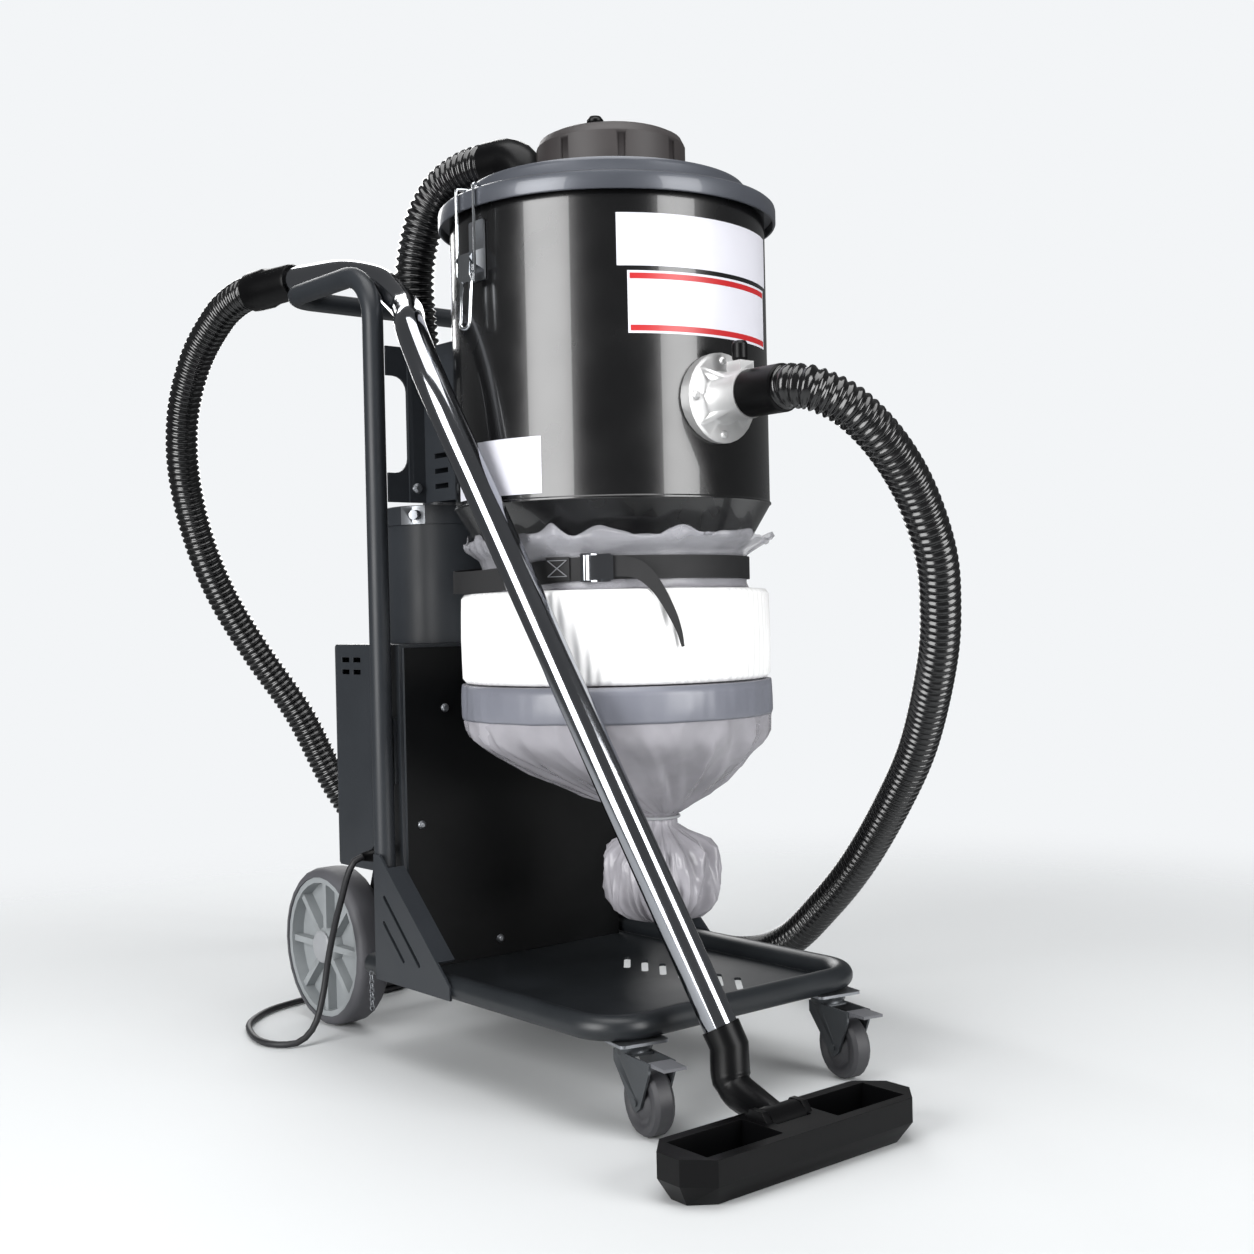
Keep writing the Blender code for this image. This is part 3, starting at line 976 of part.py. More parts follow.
def power_cord():
    """The supply lead: gland, the stretch over the floor, the coil of what is left, and its plug."""
    tip = -BOX_X - 0.026
    outline = [(0, 0), (0.011, 0), (0.011, 0.008), (0.008, 0.010), (CORD_R + 0.001, 0.026 - GAP),
               (0, 0.026 - GAP)]
    turned("cable_gland", "black_plastic", outline, (-BOX_X - GAP, GLAND_Y, GLAND_Z), (-1, 0, 0))
    floor = CORD_R + GAP
    bearing, heading = math.radians(215), math.radians(-10)
    meet = COIL_OUT + GAP + CORD_R * 0.75
    end = Vector((COIL_X + meet * math.cos(bearing), COIL_Y + meet * math.sin(bearing), floor))
    travel = Vector((math.cos(heading), math.sin(heading), 0))
    stops = [(tip - 0.006, GLAND_Y, GLAND_Z), (-0.203, 0.207, 0.226), (-0.208, 0.213, 0.210),
             (-0.209, 0.226, 0.182),
             (-0.207, 0.246, 0.150), (-0.207, 0.265, 0.105), (-0.211, 0.273, 0.060), (-0.223, 0.273, 0.024),
             (-0.243, 0.273, 0.007), (-0.262, 0.284, floor), (-0.273, 0.310, floor), (-0.268, 0.350, floor),
             (-0.245, 0.405, floor), (-0.200, 0.448, floor), (-0.150, 0.467, floor), (-0.112, 0.470, floor),
             end - travel * 0.012]
    path = [(tip - GAP, GLAND_Y, GLAND_Z)] + route(stops, 0.014) + [end]
    tube("power_cord", "cord_jacket", path, CORD_R, 2)
    nip = 0.002
    ring = [(COIL_IN, nip), (COIL_IN + nip, GAP), (COIL_OUT - nip, GAP), (COIL_OUT, nip),
            (COIL_OUT, COIL_H - nip),
            (COIL_OUT - nip, COIL_H), (COIL_IN + nip, COIL_H), (COIL_IN, COIL_H - nip)]
    turned("cord_coil", "cord_jacket", ring, (COIL_X, COIL_Y, 0), facets=ROUND)
    base, wide = COIL_X + COIL_OUT + GAP, 0.015
    plug = prism("plug", "black_plastic", [(base, -0.006), (base + 0.012, -0.007), (base + 0.020, -wide),
                                           (base + 0.044, -wide),
                                           (base + 0.044, wide), (base + 0.020, wide), (base + 0.012, 0.007),
                                           (base, 0.006)],
                 GAP, 0.022)
    for k in (-1, 1):
        at = Vector((base + 0.043, k * 0.007, 0.011))
        join(plug, rod("plug_pin", "zinc_plate", 0.0024, at, at + Vector((0.020, 0, 0)), 12))
    plug.matrix_basis = Matrix.Translation((0, COIL_Y, 0))
    for tool in MADE[-2:]:
        tool.matrix_basis = plug.matrix_basis


def stand_on_origin():
    """Hang everything on a root empty that centres the machine's footprint."""
    gusset_out = RAIL_X + TUBE_R + GAP + SHEET
    left, right = NOZZLE_X - NOZZLE_L / 2, gusset_out
    front, back = NOZZLE_Y - NOZZLE_D / 2, CUFF_END.y + 0.002
    root = bpy.data.objects.new("machine", None)
    bpy.context.scene.collection.objects.link(root)
    root.location = (-(left + right) / 2, -(front + back) / 2, 0)
    for obj in MADE:
        obj.parent = root


clear_scene()
frame_tubes()
base_plate()
for end in (-1, 1):
    gusset(end)
    rear_wheel(end)
    caster(end)
    post_bracket(end)
    latch(end)
axle_carrier()
motor_housing()
motor()
canister()
drum_bracket()
drum()
lid()
pulse_cap()
outlet()
inlet()
bag()
strap()
wand()
nozzle()
main_hose()
power_cord()
stand_on_origin()
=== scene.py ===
"""Looks of a wheeled industrial dust collector, on the frame that holds its moving pieces."""

import json
import math

import bmesh
import bpy
from mathutils import Matrix, Vector, noise


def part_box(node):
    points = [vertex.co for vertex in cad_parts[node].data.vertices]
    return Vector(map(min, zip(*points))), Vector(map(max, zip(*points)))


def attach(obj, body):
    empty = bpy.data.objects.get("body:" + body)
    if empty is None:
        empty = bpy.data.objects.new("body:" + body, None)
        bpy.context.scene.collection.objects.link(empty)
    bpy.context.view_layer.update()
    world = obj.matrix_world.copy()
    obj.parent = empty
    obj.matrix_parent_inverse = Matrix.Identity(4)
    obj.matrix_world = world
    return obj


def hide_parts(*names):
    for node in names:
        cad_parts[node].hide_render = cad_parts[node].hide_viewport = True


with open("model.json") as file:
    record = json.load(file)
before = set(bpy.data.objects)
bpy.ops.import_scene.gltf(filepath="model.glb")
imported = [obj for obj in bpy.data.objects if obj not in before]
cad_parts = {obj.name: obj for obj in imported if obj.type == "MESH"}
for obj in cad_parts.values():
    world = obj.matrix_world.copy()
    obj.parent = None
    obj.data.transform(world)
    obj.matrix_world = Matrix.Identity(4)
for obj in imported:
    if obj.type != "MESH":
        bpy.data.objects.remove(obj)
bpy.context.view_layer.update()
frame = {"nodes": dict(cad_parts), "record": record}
bpy.ops.object.select_all(action="DESELECT")

# ================================================================ where the machine stands, and the camera
# Places are given from the drum's working origin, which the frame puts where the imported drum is.
# The camera stands in front of the machine's near corner, at the height of the bag's ring.
DRUM_Y = -0.050
drum_low, drum_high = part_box("drum_shell")
PLACE = Vector(((drum_low[0] + drum_high[0]) / 2, (drum_low[1] + drum_high[1]) / 2 - DRUM_Y, 0))


def at(x, y, z):
    """A point given from the drum's working origin, in the object's frame."""
    return Vector((x, y, z)) + PLACE


EYE = (-1.159, -1.4635, 0.5164)
HEADING, PITCH, ROLL = math.radians(39.76), math.radians(-0.47), math.radians(-1.25)
camera_data = bpy.data.cameras.new("studio_camera")
camera_data.lens, camera_data.sensor_width = 45.56, 36.0
camera = bpy.data.objects.new("studio_camera", camera_data)
bpy.context.scene.collection.objects.link(camera)
facing = Matrix.Rotation(-HEADING, 4, "Z") @ Matrix.Rotation(math.pi / 2 + PITCH, 4, "X")
camera.matrix_world = Matrix.Translation(at(*EYE)) @ facing @ Matrix.Rotation(ROLL, 4, "Z")
bpy.context.scene.camera = camera


# ================================================================ main hose
# Crushproof suction hose blown from black plastic in close round ribs. It is pushed into the inlet's
# cuff, hangs free to the floor beside the machine, and runs up behind it to the wand's cuff.
def colour(code):
    """A linear colour from a hex code in sRGB."""
    parts = [int(code[i:i + 2], 16) / 255 for i in (0, 2, 4)]
    return tuple(p / 12.92 if p <= 0.04045 else ((p + 0.055) / 1.055) ** 2.4 for p in parts) + (1.0,)


def node(tree, kind, **inputs):
    """A node of a material or the world, its inputs set or linked by name."""
    made = tree.nodes.new(kind)
    for name, value in inputs.items():
        name = name.replace("_", " ")
        if isinstance(value, bpy.types.NodeSocket):
            tree.links.new(value, made.inputs[name])
        else:
            made.inputs[name].default_value = value
    return made


def finish(name, code, rough, metal=0.0, grain=0.004, bump=0.03, patches=0.10, **surface):
    """A finish from its colour and gloss: surface grain as wide as grain in metres, faint handling
    patches a few centimetres across, and gloss that varies with them."""
    made = bpy.data.materials.new(name)
    made.use_nodes = True
    tree = made.node_tree
    shader = tree.nodes["Principled BSDF"]
    place = tree.nodes.new("ShaderNodeTexCoord").outputs["Object"]
    fine = node(tree, "ShaderNodeTexNoise", Vector=place, Scale=1 / grain, Detail=4.0)
    broad = node(tree, "ShaderNodeTexNoise", Vector=place, Scale=1 / 0.0714, Detail=3.0)
    base = colour(code)[:3]
    ramp = node(tree, "ShaderNodeValToRGB", Fac=broad.outputs["Fac"])
    dark, light = ramp.color_ramp.elements
    dark.position, light.position = 0.3, 0.7
    dark.color = tuple(c * (1 - patches) for c in base) + (1.0,)
    light.color = tuple(min(1, c * (1 + patches)) for c in base) + (1.0,)
    gloss = node(tree, "ShaderNodeMapRange", Value=broad.outputs["Fac"], From_Min=0.3, From_Max=0.7,
                 To_Min=max(0.02, rough - 0.04), To_Max=rough + 0.04)
    relief = node(tree, "ShaderNodeBump", Height=fine.outputs["Fac"], Strength=bump, Distance=grain / 3)
    tree.links.new(ramp.outputs["Color"], shader.inputs["Base Color"])
    tree.links.new(gloss.outputs["Result"], shader.inputs["Roughness"])
    tree.links.new(relief.outputs["Normal"], shader.inputs["Normal"])
    shader.inputs["Metallic"].default_value = metal
    for key, value in surface.items():
        shader.inputs[key.replace("_", " ")].default_value = value
    return made


def settle(obj, material, body, angle):
    """Smooth a piece's shading up to an angle, give it its finish, and let it ride on its body."""
    obj.data.shade_smooth()
    obj.data.set_sharp_from_angle(angle=math.radians(angle))
    obj.data.materials.append(material)
    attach(obj, body)
    return obj


def mesh_piece(name, points, faces, material, body="cart", angle=40):
    """A piece from its points and faces, with the faces turned outwards."""
    mesh = bpy.data.meshes.new(name)
    mesh.from_pydata([tuple(p) for p in points], [], faces)
    work = bmesh.new()
    work.from_mesh(mesh)
    bmesh.ops.recalc_face_normals(work, faces=work.faces)
    work.to_mesh(mesh)
    work.free()
    obj = bpy.data.objects.new(name, mesh)
    bpy.context.scene.collection.objects.link(obj)
    return settle(obj, material, body, angle)


def quads(rows, across, join_rows=False):
    """Faces between rows of points, each row a closed ring; the last row can join the first."""
    faces = []
    for row in range(rows if join_rows else rows - 1):
        here, there = row * across, (row + 1) % rows * across
        for i in range(across):
            n = (i + 1) % across
            faces.append((here + i, here + n, there + n, there + i))
    return faces


def ends(rows, across):
    """The faces that close the first and the last row."""
    return [tuple(range(across)), tuple(range((rows - 1) * across, rows * across))]


def swept(name, path, radii, material, sides=32, angle=40):
    """A round bar or tube along a path, with one radius or one for each point."""
    if not isinstance(radii, list):
        radii = [radii] * len(path)
    side = (path[1] - path[0]).orthogonal().normalized()
    points = []
    for i, here in enumerate(path):
        along = (path[min(i + 1, len(path) - 1)] - path[max(i - 1, 0)]).normalized()
        side = (side - along * side.dot(along)).normalized()
        other = along.cross(side)
        for k in range(sides):
            turn = 2 * math.pi * k / sides
            points.append(here + (side * math.cos(turn) + other * math.sin(turn)) * radii[i])
    faces = quads(len(path), sides) + ends(len(path), sides)
    return mesh_piece(name, points, faces, material, angle=angle)


def curve_through(stops, spacing):
    """Evenly spaced points on a smooth curve through the stops."""
    stops = [Vector(p) for p in stops]
    guides = [2 * stops[0] - stops[1]] + stops + [2 * stops[-1] - stops[-2]]
    fine = []
    for a, b, c, d in zip(guides, guides[1:], guides[2:], guides[3:]):
        for i in range(24):
            t = i / 24
            fine.append(0.5 * (2 * b + (c - a) * t + (2 * a - 5 * b + 4 * c - d) * t * t
                               + (3 * b - a - 3 * c + d) * t ** 3))
    fine.append(stops[-1])
    length = length_of(fine)
    count = max(2, round(length / spacing))
    out, walked = [fine[0]], 0.0
    for p, q in zip(fine, fine[1:]):
        step = (q - p).length
        while len(out) < count and walked + step >= length * len(out) / count:
            out.append(p.lerp(q, (length * len(out) / count - walked) / step))
        walked += step
    return out + [fine[-1]]


def length_of(path):
    """The length of a line through points."""
    return sum((q - p).length for p, q in zip(path, path[1:]))


RIB_PITCH = 0.0092          # a little coarser than the real ribs, so that each one shows


def ribbed(name, stops, outer, depth, material):
    """A corrugated hose through the stops, and the line that it follows."""
    line = curve_through(stops, RIB_PITCH / 6)
    wave = (0.0, -0.10, -0.55, -1.0, -0.90, -0.35)
    radii = [outer + depth * wave[i % 6] for i in range(len(line))]
    return swept(name, line, radii, material, 28, angle=180), line


# Blown polyethylene, glossy black: each rib carries its own short highlight.
hose_black = finish("hose_gloss_black", "0d0d0e", 0.22, grain=0.006, bump=0.02, Coat_Weight=0.3)
INLET_Z, CUFF_Y = 0.743, -0.330
HANDLE_Z, HANDLE_BACK = 0.930, 0.376
WAND_END = Vector((-0.153, 0.410, HANDLE_Z + 0.032))
CUFF_END = Vector((-0.165, 0.503, HANDLE_Z + 0.032))
cuff_way = (CUFF_END - WAND_END).normalized()
hose_end = WAND_END + cuff_way * 0.0943
hose_stops = [(0, CUFF_Y - 0.0003, INLET_Z), (0, CUFF_Y - 0.012, INLET_Z), (0.010, -0.362, 0.738),
              (0.040, -0.381, 0.720), (0.084, -0.388, 0.686), (0.137, -0.381, 0.639), (0.184, -0.368, 0.578),
              (0.218, -0.346, 0.524), (0.254, -0.311, 0.457), (0.307, -0.239, 0.359), (0.336, -0.173, 0.281),
              (0.362, -0.091, 0.195), (0.377, -0.014, 0.126), (0.393, 0.075, 0.062), (0.409, 0.180, 0.0285),
              (0.408, 0.320, 0.0265), (0.370, 0.470, 0.0265), (0.290, 0.610, 0.037), (0.190, 0.710, 0.095),
              (0.095, 0.755, 0.240), (0.030, 0.768, 0.370), (-0.034, 0.777, 0.466), (-0.085, 0.776, 0.545),
              (-0.125, 0.763, 0.618), (-0.156, 0.744, 0.695), (-0.178, 0.715, 0.765), (-0.188, 0.680, 0.832),
              (-0.187, 0.635, 0.893), (-0.180, 0.580, 0.938), (-0.173, 0.545, 0.9555),
              hose_end + cuff_way * 0.015, hose_end]
hose, hose_line = ribbed("corrugated_hose", [at(*p) for p in hose_stops], 0.0230, 0.0034, hose_black)
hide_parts("main_hose")


# ================================================================ supply lead, its gland and plug
# Round three-core lead in black rubber, five metres long, clamped in a moulded gland. It leaves the
# housing low beside the wheel, and what isn't in use is wound in a flat coil behind the machine.
BODY_OF = {part: body for body, parts in frame["record"]["behaviour"]["bodies"].items() for part in parts}


def refined(part, material, edge=0.0):
    """A node's own shape, welded and smooth, in its finish, its edges rounded by edge in metres."""
    source = frame["nodes"][part]
    mesh = source.data.copy()
    mesh.transform(source.matrix_world)
    mesh.materials.clear()
    copy = bpy.data.objects.new(part + "_finished", mesh)
    bpy.context.scene.collection.objects.link(copy)
    work = bmesh.new()
    work.from_mesh(mesh)
    bmesh.ops.remove_doubles(work, verts=work.verts, dist=0.00002)
    bmesh.ops.dissolve_limit(work, angle_limit=math.radians(1), verts=work.verts, edges=work.edges)
    work.to_mesh(mesh)
    work.free()
    settle(copy, material, BODY_OF[part], 32)
    if edge:
        ease = copy.modifiers.new("eased_edges", "BEVEL")
        ease.width, ease.segments, ease.limit_method, ease.angle_limit = edge, 2, "ANGLE", math.radians(32)
        ease.harden_normals = True
    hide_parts(part)
    return copy


# Matt extruded rubber for the lead, and moulded black plastic with a low sheen for its fittings.
lead_rubber = finish("lead_rubber", "17171a", 0.55, grain=0.002, bump=0.08)
black_moulding = finish("black_moulding", "060607", 0.34, grain=0.0012, bump=0.06, Specular_IOR_Level=0.16)
GLAND_Y, GLAND_Z, LEAD_R = 0.205, 0.232, 0.004
COIL_X, COIL_Y, COIL_IN, COIL_OUT, LAYER = -0.020, 0.500, 0.036, 0.060, 0.0080
ON_FLOOR = LEAD_R + 0.0003
JOIN_R, JOIN_TURN = COIL_OUT + 2 * LEAD_R - 0.0007, math.radians(215)
lead_stops = [(-0.1913, GLAND_Y, GLAND_Z), (-0.197, GLAND_Y, GLAND_Z), (-0.203, 0.207, 0.226),
              (-0.208, 0.213, 0.210), (-0.209, 0.226, 0.182), (-0.207, 0.246, 0.150), (-0.207, 0.265, 0.105),
              (-0.211, 0.273, 0.060), (-0.223, 0.273, 0.024), (-0.243, 0.273, 0.007),
              (-0.262, 0.284, ON_FLOOR), (-0.273, 0.310, ON_FLOOR), (-0.268, 0.350, ON_FLOOR),
              (-0.245, 0.405, ON_FLOOR),
              (-0.200, 0.448, ON_FLOOR), (-0.150, 0.467, ON_FLOOR), (-0.112, 0.470, ON_FLOOR),
              (COIL_X + JOIN_R * math.cos(JOIN_TURN), COIL_Y + JOIN_R * math.sin(JOIN_TURN), ON_FLOOR)]
lead_line = curve_through([at(*p) for p in lead_stops], 0.012)
COIL_START, COIL_ROWS, ROW_STEPS, TURN_STEPS = math.radians(240), 4, 72, 24
winding = []                # the coil's radius and height at each step round it
for row in range(COIL_ROWS):
    start, stop = (COIL_OUT, COIL_IN) if row % 2 == 0 else (COIL_IN, COIL_OUT)
    winding += [(start + (stop - start) * step / ROW_STEPS, ON_FLOOR + LAYER * row)
                for step in range(ROW_STEPS)]
    if row < COIL_ROWS - 1:
        winding += [(stop, ON_FLOOR + LAYER * (row + step / TURN_STEPS)) for step in range(TURN_STEPS)]
for step, (radius, height) in enumerate(winding):
    turn = COIL_START + 2 * math.pi * step / TURN_STEPS
    lead_line.append(at(COIL_X + radius * math.cos(turn), COIL_Y + radius * math.sin(turn), height))
lead_curve = bpy.data.curves.new("supply_lead", "CURVE")
lead_curve.dimensions = "3D"
lead_curve.bevel_depth, lead_curve.bevel_resolution, lead_curve.use_fill_caps = LEAD_R, 3, True
lead_spline = lead_curve.splines.new("POLY")
lead_spline.points.add(len(lead_line) - 1)
for spot, point in zip(lead_spline.points, lead_line):
    spot.co = (*point, 1.0)
lead_curve.materials.append(lead_rubber)
lead = bpy.data.objects.new("supply_lead", lead_curve)
bpy.context.scene.collection.objects.link(lead)
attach(lead, "cart")
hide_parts("power_cord", "cord_coil")
refined("cable_gland", black_moulding)
plug = refined("plug", black_moulding, 0.0012)


# ================================================================ rear wheels on their axle
# Two 200 mm wheels, spoked hubs moulded in grey nylon with rubber tyres pressed on, turn freely on a
# zinc-plated steel axle. A moulded cap closes the outer end of each hub.
def lathed(name, outline, centre, material, axis=(0, 0, 1), steps=128, body="cart", angle=30):
    """A turned piece: its (radius, height) outline spun about an axis through the centre."""
    count = len(outline)
    edges = [(i, i + 1) for i in range(count - 1)]
    if outline[0][0] > 0 or outline[-1][0] > 0:
        edges.append((count - 1, 0))
    mesh = bpy.data.meshes.new(name)
    mesh.from_pydata([(radius, 0, height) for radius, height in outline], edges, [])
    obj = bpy.data.objects.new(name, mesh)
    bpy.context.scene.collection.objects.link(obj)
    bpy.ops.object.select_all(action="DESELECT")
    obj.select_set(True)
    bpy.context.view_layer.objects.active = obj
    bpy.ops.object.mode_set(mode="EDIT")
    bpy.ops.mesh.select_all(action="SELECT")
    bpy.ops.mesh.spin(steps=steps, angle=2 * math.pi, center=(0, 0, 0), axis=(0, 0, 1))
    bpy.ops.mesh.select_all(action="SELECT")
    bpy.ops.mesh.remove_doubles(threshold=0.000002)
    bpy.ops.mesh.normals_make_consistent(inside=False)
    bpy.ops.object.mode_set(mode="OBJECT")
    obj.select_set(False)
    upright = Vector((0, 0, 1)).rotation_difference(Vector(axis)).to_matrix().to_4x4()
    mesh.transform(Matrix.Translation(centre) @ upright)
    return settle(obj, material, body, angle)


# Dull plating with a slight cloudiness, nylon with a fine matt grain, and dusty grey rubber.
zinc = finish("zinc_plate", "8d9094", 0.34, 0.9, grain=0.003, bump=0.03)
hub_grey = finish("hub_grey_moulding", "85898b", 0.50, grain=0.0012, bump=0.06)
pale_grey = finish("pale_grey_moulding", "8e9093", 0.50, grain=0.0012, bump=0.05)
tyre_grey = finish("tyre_grey_rubber", "46464a", 0.62, grain=0.0014, bump=0.15)
AXLE_Y, AXLE_Z, HUB_END = 0.347, 0.100, 0.1705
hub_cap_outline = [(0, 0), (0.0205, 0), (0.0205, 0.0012), (0.0188, 0.0030), (0.0130, 0.0046),
                   (0.0060, 0.0053), (0, 0.0055)]
refined("axle", zinc)
for side, hand in ((-1, "left"), (1, "right")):
    refined("wheel_hub_" + hand, hub_grey)
    refined("tyre_" + hand, tyre_grey)
    lathed("hub_cap", hub_cap_outline, at(side * HUB_END, AXLE_Y, AXLE_Z), pale_grey, axis=(side, 0, 0),
           steps=48, body="wheel_" + hand)

# ================================================================ front casters
# Bought-in swivel casters: a plated top plate, a pressed steel fork, a 70 mm rubber wheel and a
# moulded brake pedal that is pressed down onto the wheel.
# Satin plated steel for the forks, dark grey rubber, and a mid-grey plastic for the pedals.
fork_grey = finish("satin_fork_grey", "46494c", 0.40, 0.6, grain=0.003, bump=0.03)
caster_grey = finish("caster_grey_rubber", "323235", 0.52, grain=0.0014, bump=0.12)
pedal_grey = finish("pedal_grey_moulding", "5b5c60", 0.45, grain=0.0012, bump=0.05)
for hand in ("left", "right"):
    refined("caster_plate_" + hand, zinc)
    refined("caster_fork_" + hand, fork_grey)
    refined("caster_wheel_" + hand, caster_grey)
    refined("caster_pedal_" + hand, pedal_grey)


# ================================================================ platform: rail, sheet, carrier and gussets
# The rail is bent from round steel tube and carries a folded sheet with drain slots. The gussets are
# folded plates welded on at the back. All are powder coated; a short earth chain hangs at one gusset.
def rounded_path(corners, radii, steps=14):
    """A path through corner points with each corner bent to its radius."""
    out = [corners[0]]
    for before, corner, after, radius in zip(corners, corners[1:], corners[2:], radii):
        back, onward = (before - corner).normalized(), (after - corner).normalized()
        half = back.angle(onward) / 2
        centre = corner + (back + onward).normalized() * (radius / math.sin(half))
        first = corner + back * (radius / math.tan(half)) - centre
        last = corner + onward * (radius / math.tan(half)) - centre
        normal, sweep = first.cross(last).normalized(), first.angle(last)
        out += [centre + Matrix.Rotation(sweep * i / steps, 3, normal) @ first for i in range(steps + 1)]
    return out + [corners[-1]]


# Powder coat: even and satin, with an orange-peel texture about 1.6 mm across.
coat = dict(grain=0.0016, bump=0.10)
slate = finish("slate_powder_coat", "26292d", 0.42, patches=0.06, Specular_IOR_Level=0.34, **coat)
platform = finish("platform_powder_coat", "1c1f22", 0.40, Specular_IOR_Level=0.40, **coat)
RAIL_X, RAIL_Z, RAIL_R, RAIL_BEND = 0.182, 0.104, 0.013, 0.048
RAIL_BACK, RAIL_FRONT = 0.200, -0.2486
rail_corners = [at(-RAIL_X, RAIL_BACK, RAIL_Z), at(-RAIL_X, RAIL_FRONT, RAIL_Z),
                at(RAIL_X, RAIL_FRONT, RAIL_Z), at(RAIL_X, RAIL_BACK, RAIL_Z)]
rail = swept("platform_rail", rounded_path(rail_corners, [RAIL_BEND] * 2), RAIL_R, platform, 40)
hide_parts("frame_rail")
refined("base_plate", platform, 0.0007)
refined("axle_carrier", platform)
refined("gusset_left", slate, 0.0008)
refined("gusset_right", slate, 0.0008)
LINK_R, LINK_WIRE, LINK_STEP = 0.0034, 0.0008, 0.0050
for link in range(9):
    bpy.ops.mesh.primitive_torus_add(major_radius=LINK_R, minor_radius=LINK_WIRE, major_segments=20,
                                     minor_segments=8, location=at(-0.2006, 0.174, 0.0980 - LINK_STEP * link),
                                     rotation=(math.pi / 2, 0, math.pi / 2 * (link % 2)))
    chain_link = bpy.context.object
    chain_link.name = "earth_chain_link"
    chain_link.scale = (0.75, 1.0, 1.0)
    bpy.ops.object.transform_apply(location=True, rotation=True, scale=True)
    chain_link.data.materials.append(zinc)
    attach(chain_link, "cart")

# ================================================================ push handle
# One hoop of steel tube, powder coated: both uprights stand on the rail, and the grip is bent back
# over the wheels. Folded brackets join the uprights to the drum.
POST_X, POST_Y, POST_R, POST_FOOT = 0.1825, 0.168, 0.0125, RAIL_Z + RAIL_R + 0.0003
handle_corners = [at(-POST_X, POST_Y, POST_FOOT), at(-POST_X, POST_Y, HANDLE_Z),
                  at(-POST_X, HANDLE_BACK, HANDLE_Z), at(POST_X, HANDLE_BACK, HANDLE_Z),
                  at(POST_X, POST_Y, HANDLE_Z), at(POST_X, POST_Y, POST_FOOT)]
handle = swept("push_handle", rounded_path(handle_corners, [0.060, 0.035, 0.035, 0.060]), POST_R, slate, 40)
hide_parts("handle_frame")
refined("post_bracket_left", slate, 0.0005)
refined("post_bracket_right", slate, 0.0005)


# ================================================================ motor housing
# Folded steel housing, its front in black powder coat and the rest slate, with the vacuum motor inside
# and a louvred back cover held by plated pan screws. The mains switch is a moulded rocker.
def repaint(piece, material, chosen):
    """Give another finish to the faces whose middle and normal are chosen."""
    piece.data.materials.append(material)
    index = len(piece.data.materials) - 1
    for face in piece.data.polygons:
        if chosen(face.center, face.normal):
            face.material_index = index


def plate_heads(piece, heads, reach):
    """Give plated zinc to the screw heads of a piece, where they are and how far they reach."""
    spots = [at(*head) for head in heads]
    repaint(piece, zinc, lambda middle, normal: any((middle - spot).length < reach for spot in spots))


# The front's coat is a flat black that takes little light.
panel_black = finish("panel_black_coat", "08090a", 0.42, Specular_IOR_Level=0.15, **coat)
housing = refined("motor_housing", slate, 0.0010)
plate_heads(housing, [(-0.104, 0.150, 0.408), (-0.060, 0.150, 0.380), (-0.030, 0.150, 0.118),
                      (-0.140, 0.150, 0.270)], 0.007)
front_y = at(0, 0.1535, 0).y
repaint(housing, panel_black,
        lambda middle, normal: front_y - 0.0018 < middle.y < front_y and normal.y < -0.9)
refined("vacuum_motor", platform)
refined("switch_rocker", black_moulding)
refined("back_cover", slate, 0.0006)
cover_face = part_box("back_cover")[1][1]
screw_outline = [(0, 0), (0.0042, 0), (0.0042, 0.0008), (0.0034, 0.0019), (0.0018, 0.0024), (0, 0.0025)]
for side in (-1, 1):
    for height in (0.222, 0.348, 0.474):
        seat = at(side * 0.157, 0, height)
        seat.y = cover_face
        lathed("cover_screw", screw_outline, seat, zinc, axis=(0, 1, 0), steps=24)

# ================================================================ canister
# Rolled steel canister on the housing, for the fine filter, with a clamped lid. Powder coated slate.
# Pleated filter fleece: off-white and quite matt.
media = finish("filter_media", "d6d2c6", 0.90, grain=0.0008, bump=0.3)
CAN_X, CAN_Y, CAN_PORT_TOP = -0.047, 0.230, 0.6823
refined("canister_body", slate)
plate_heads(refined("canister_lid", slate), [(CAN_X - 0.070, CAN_Y - 0.041, 0.643)], 0.014)
refined("hepa_filter", media)


# ================================================================ drum, its bracket and labels
# Rolled and welded steel drum in gloss black enamel, with a pressed bead above the cone that narrows
# to the neck. A slate bracket bolts it to the uprights, and blank stickers stand on its wall.
def label(name, start, end, low, high, material, lift=0.0004):
    """A sticker between two bearings, measured from the front towards the near side."""
    steps = max(4, round(abs(end - start) / 3))
    points = []
    for i in range(steps + 1):
        bearing = math.radians(start + (end - start) * i / steps)
        for gap, z in ((0.00005, low), (lift, low), (lift, high), (0.00005, high)):
            radius = DRUM_R + gap
            points.append(at(-radius * math.sin(bearing), DRUM_Y - radius * math.cos(bearing), z))
    return mesh_piece(name, points, quads(steps + 1, 4) + ends(steps + 1, 4), material, angle=30)


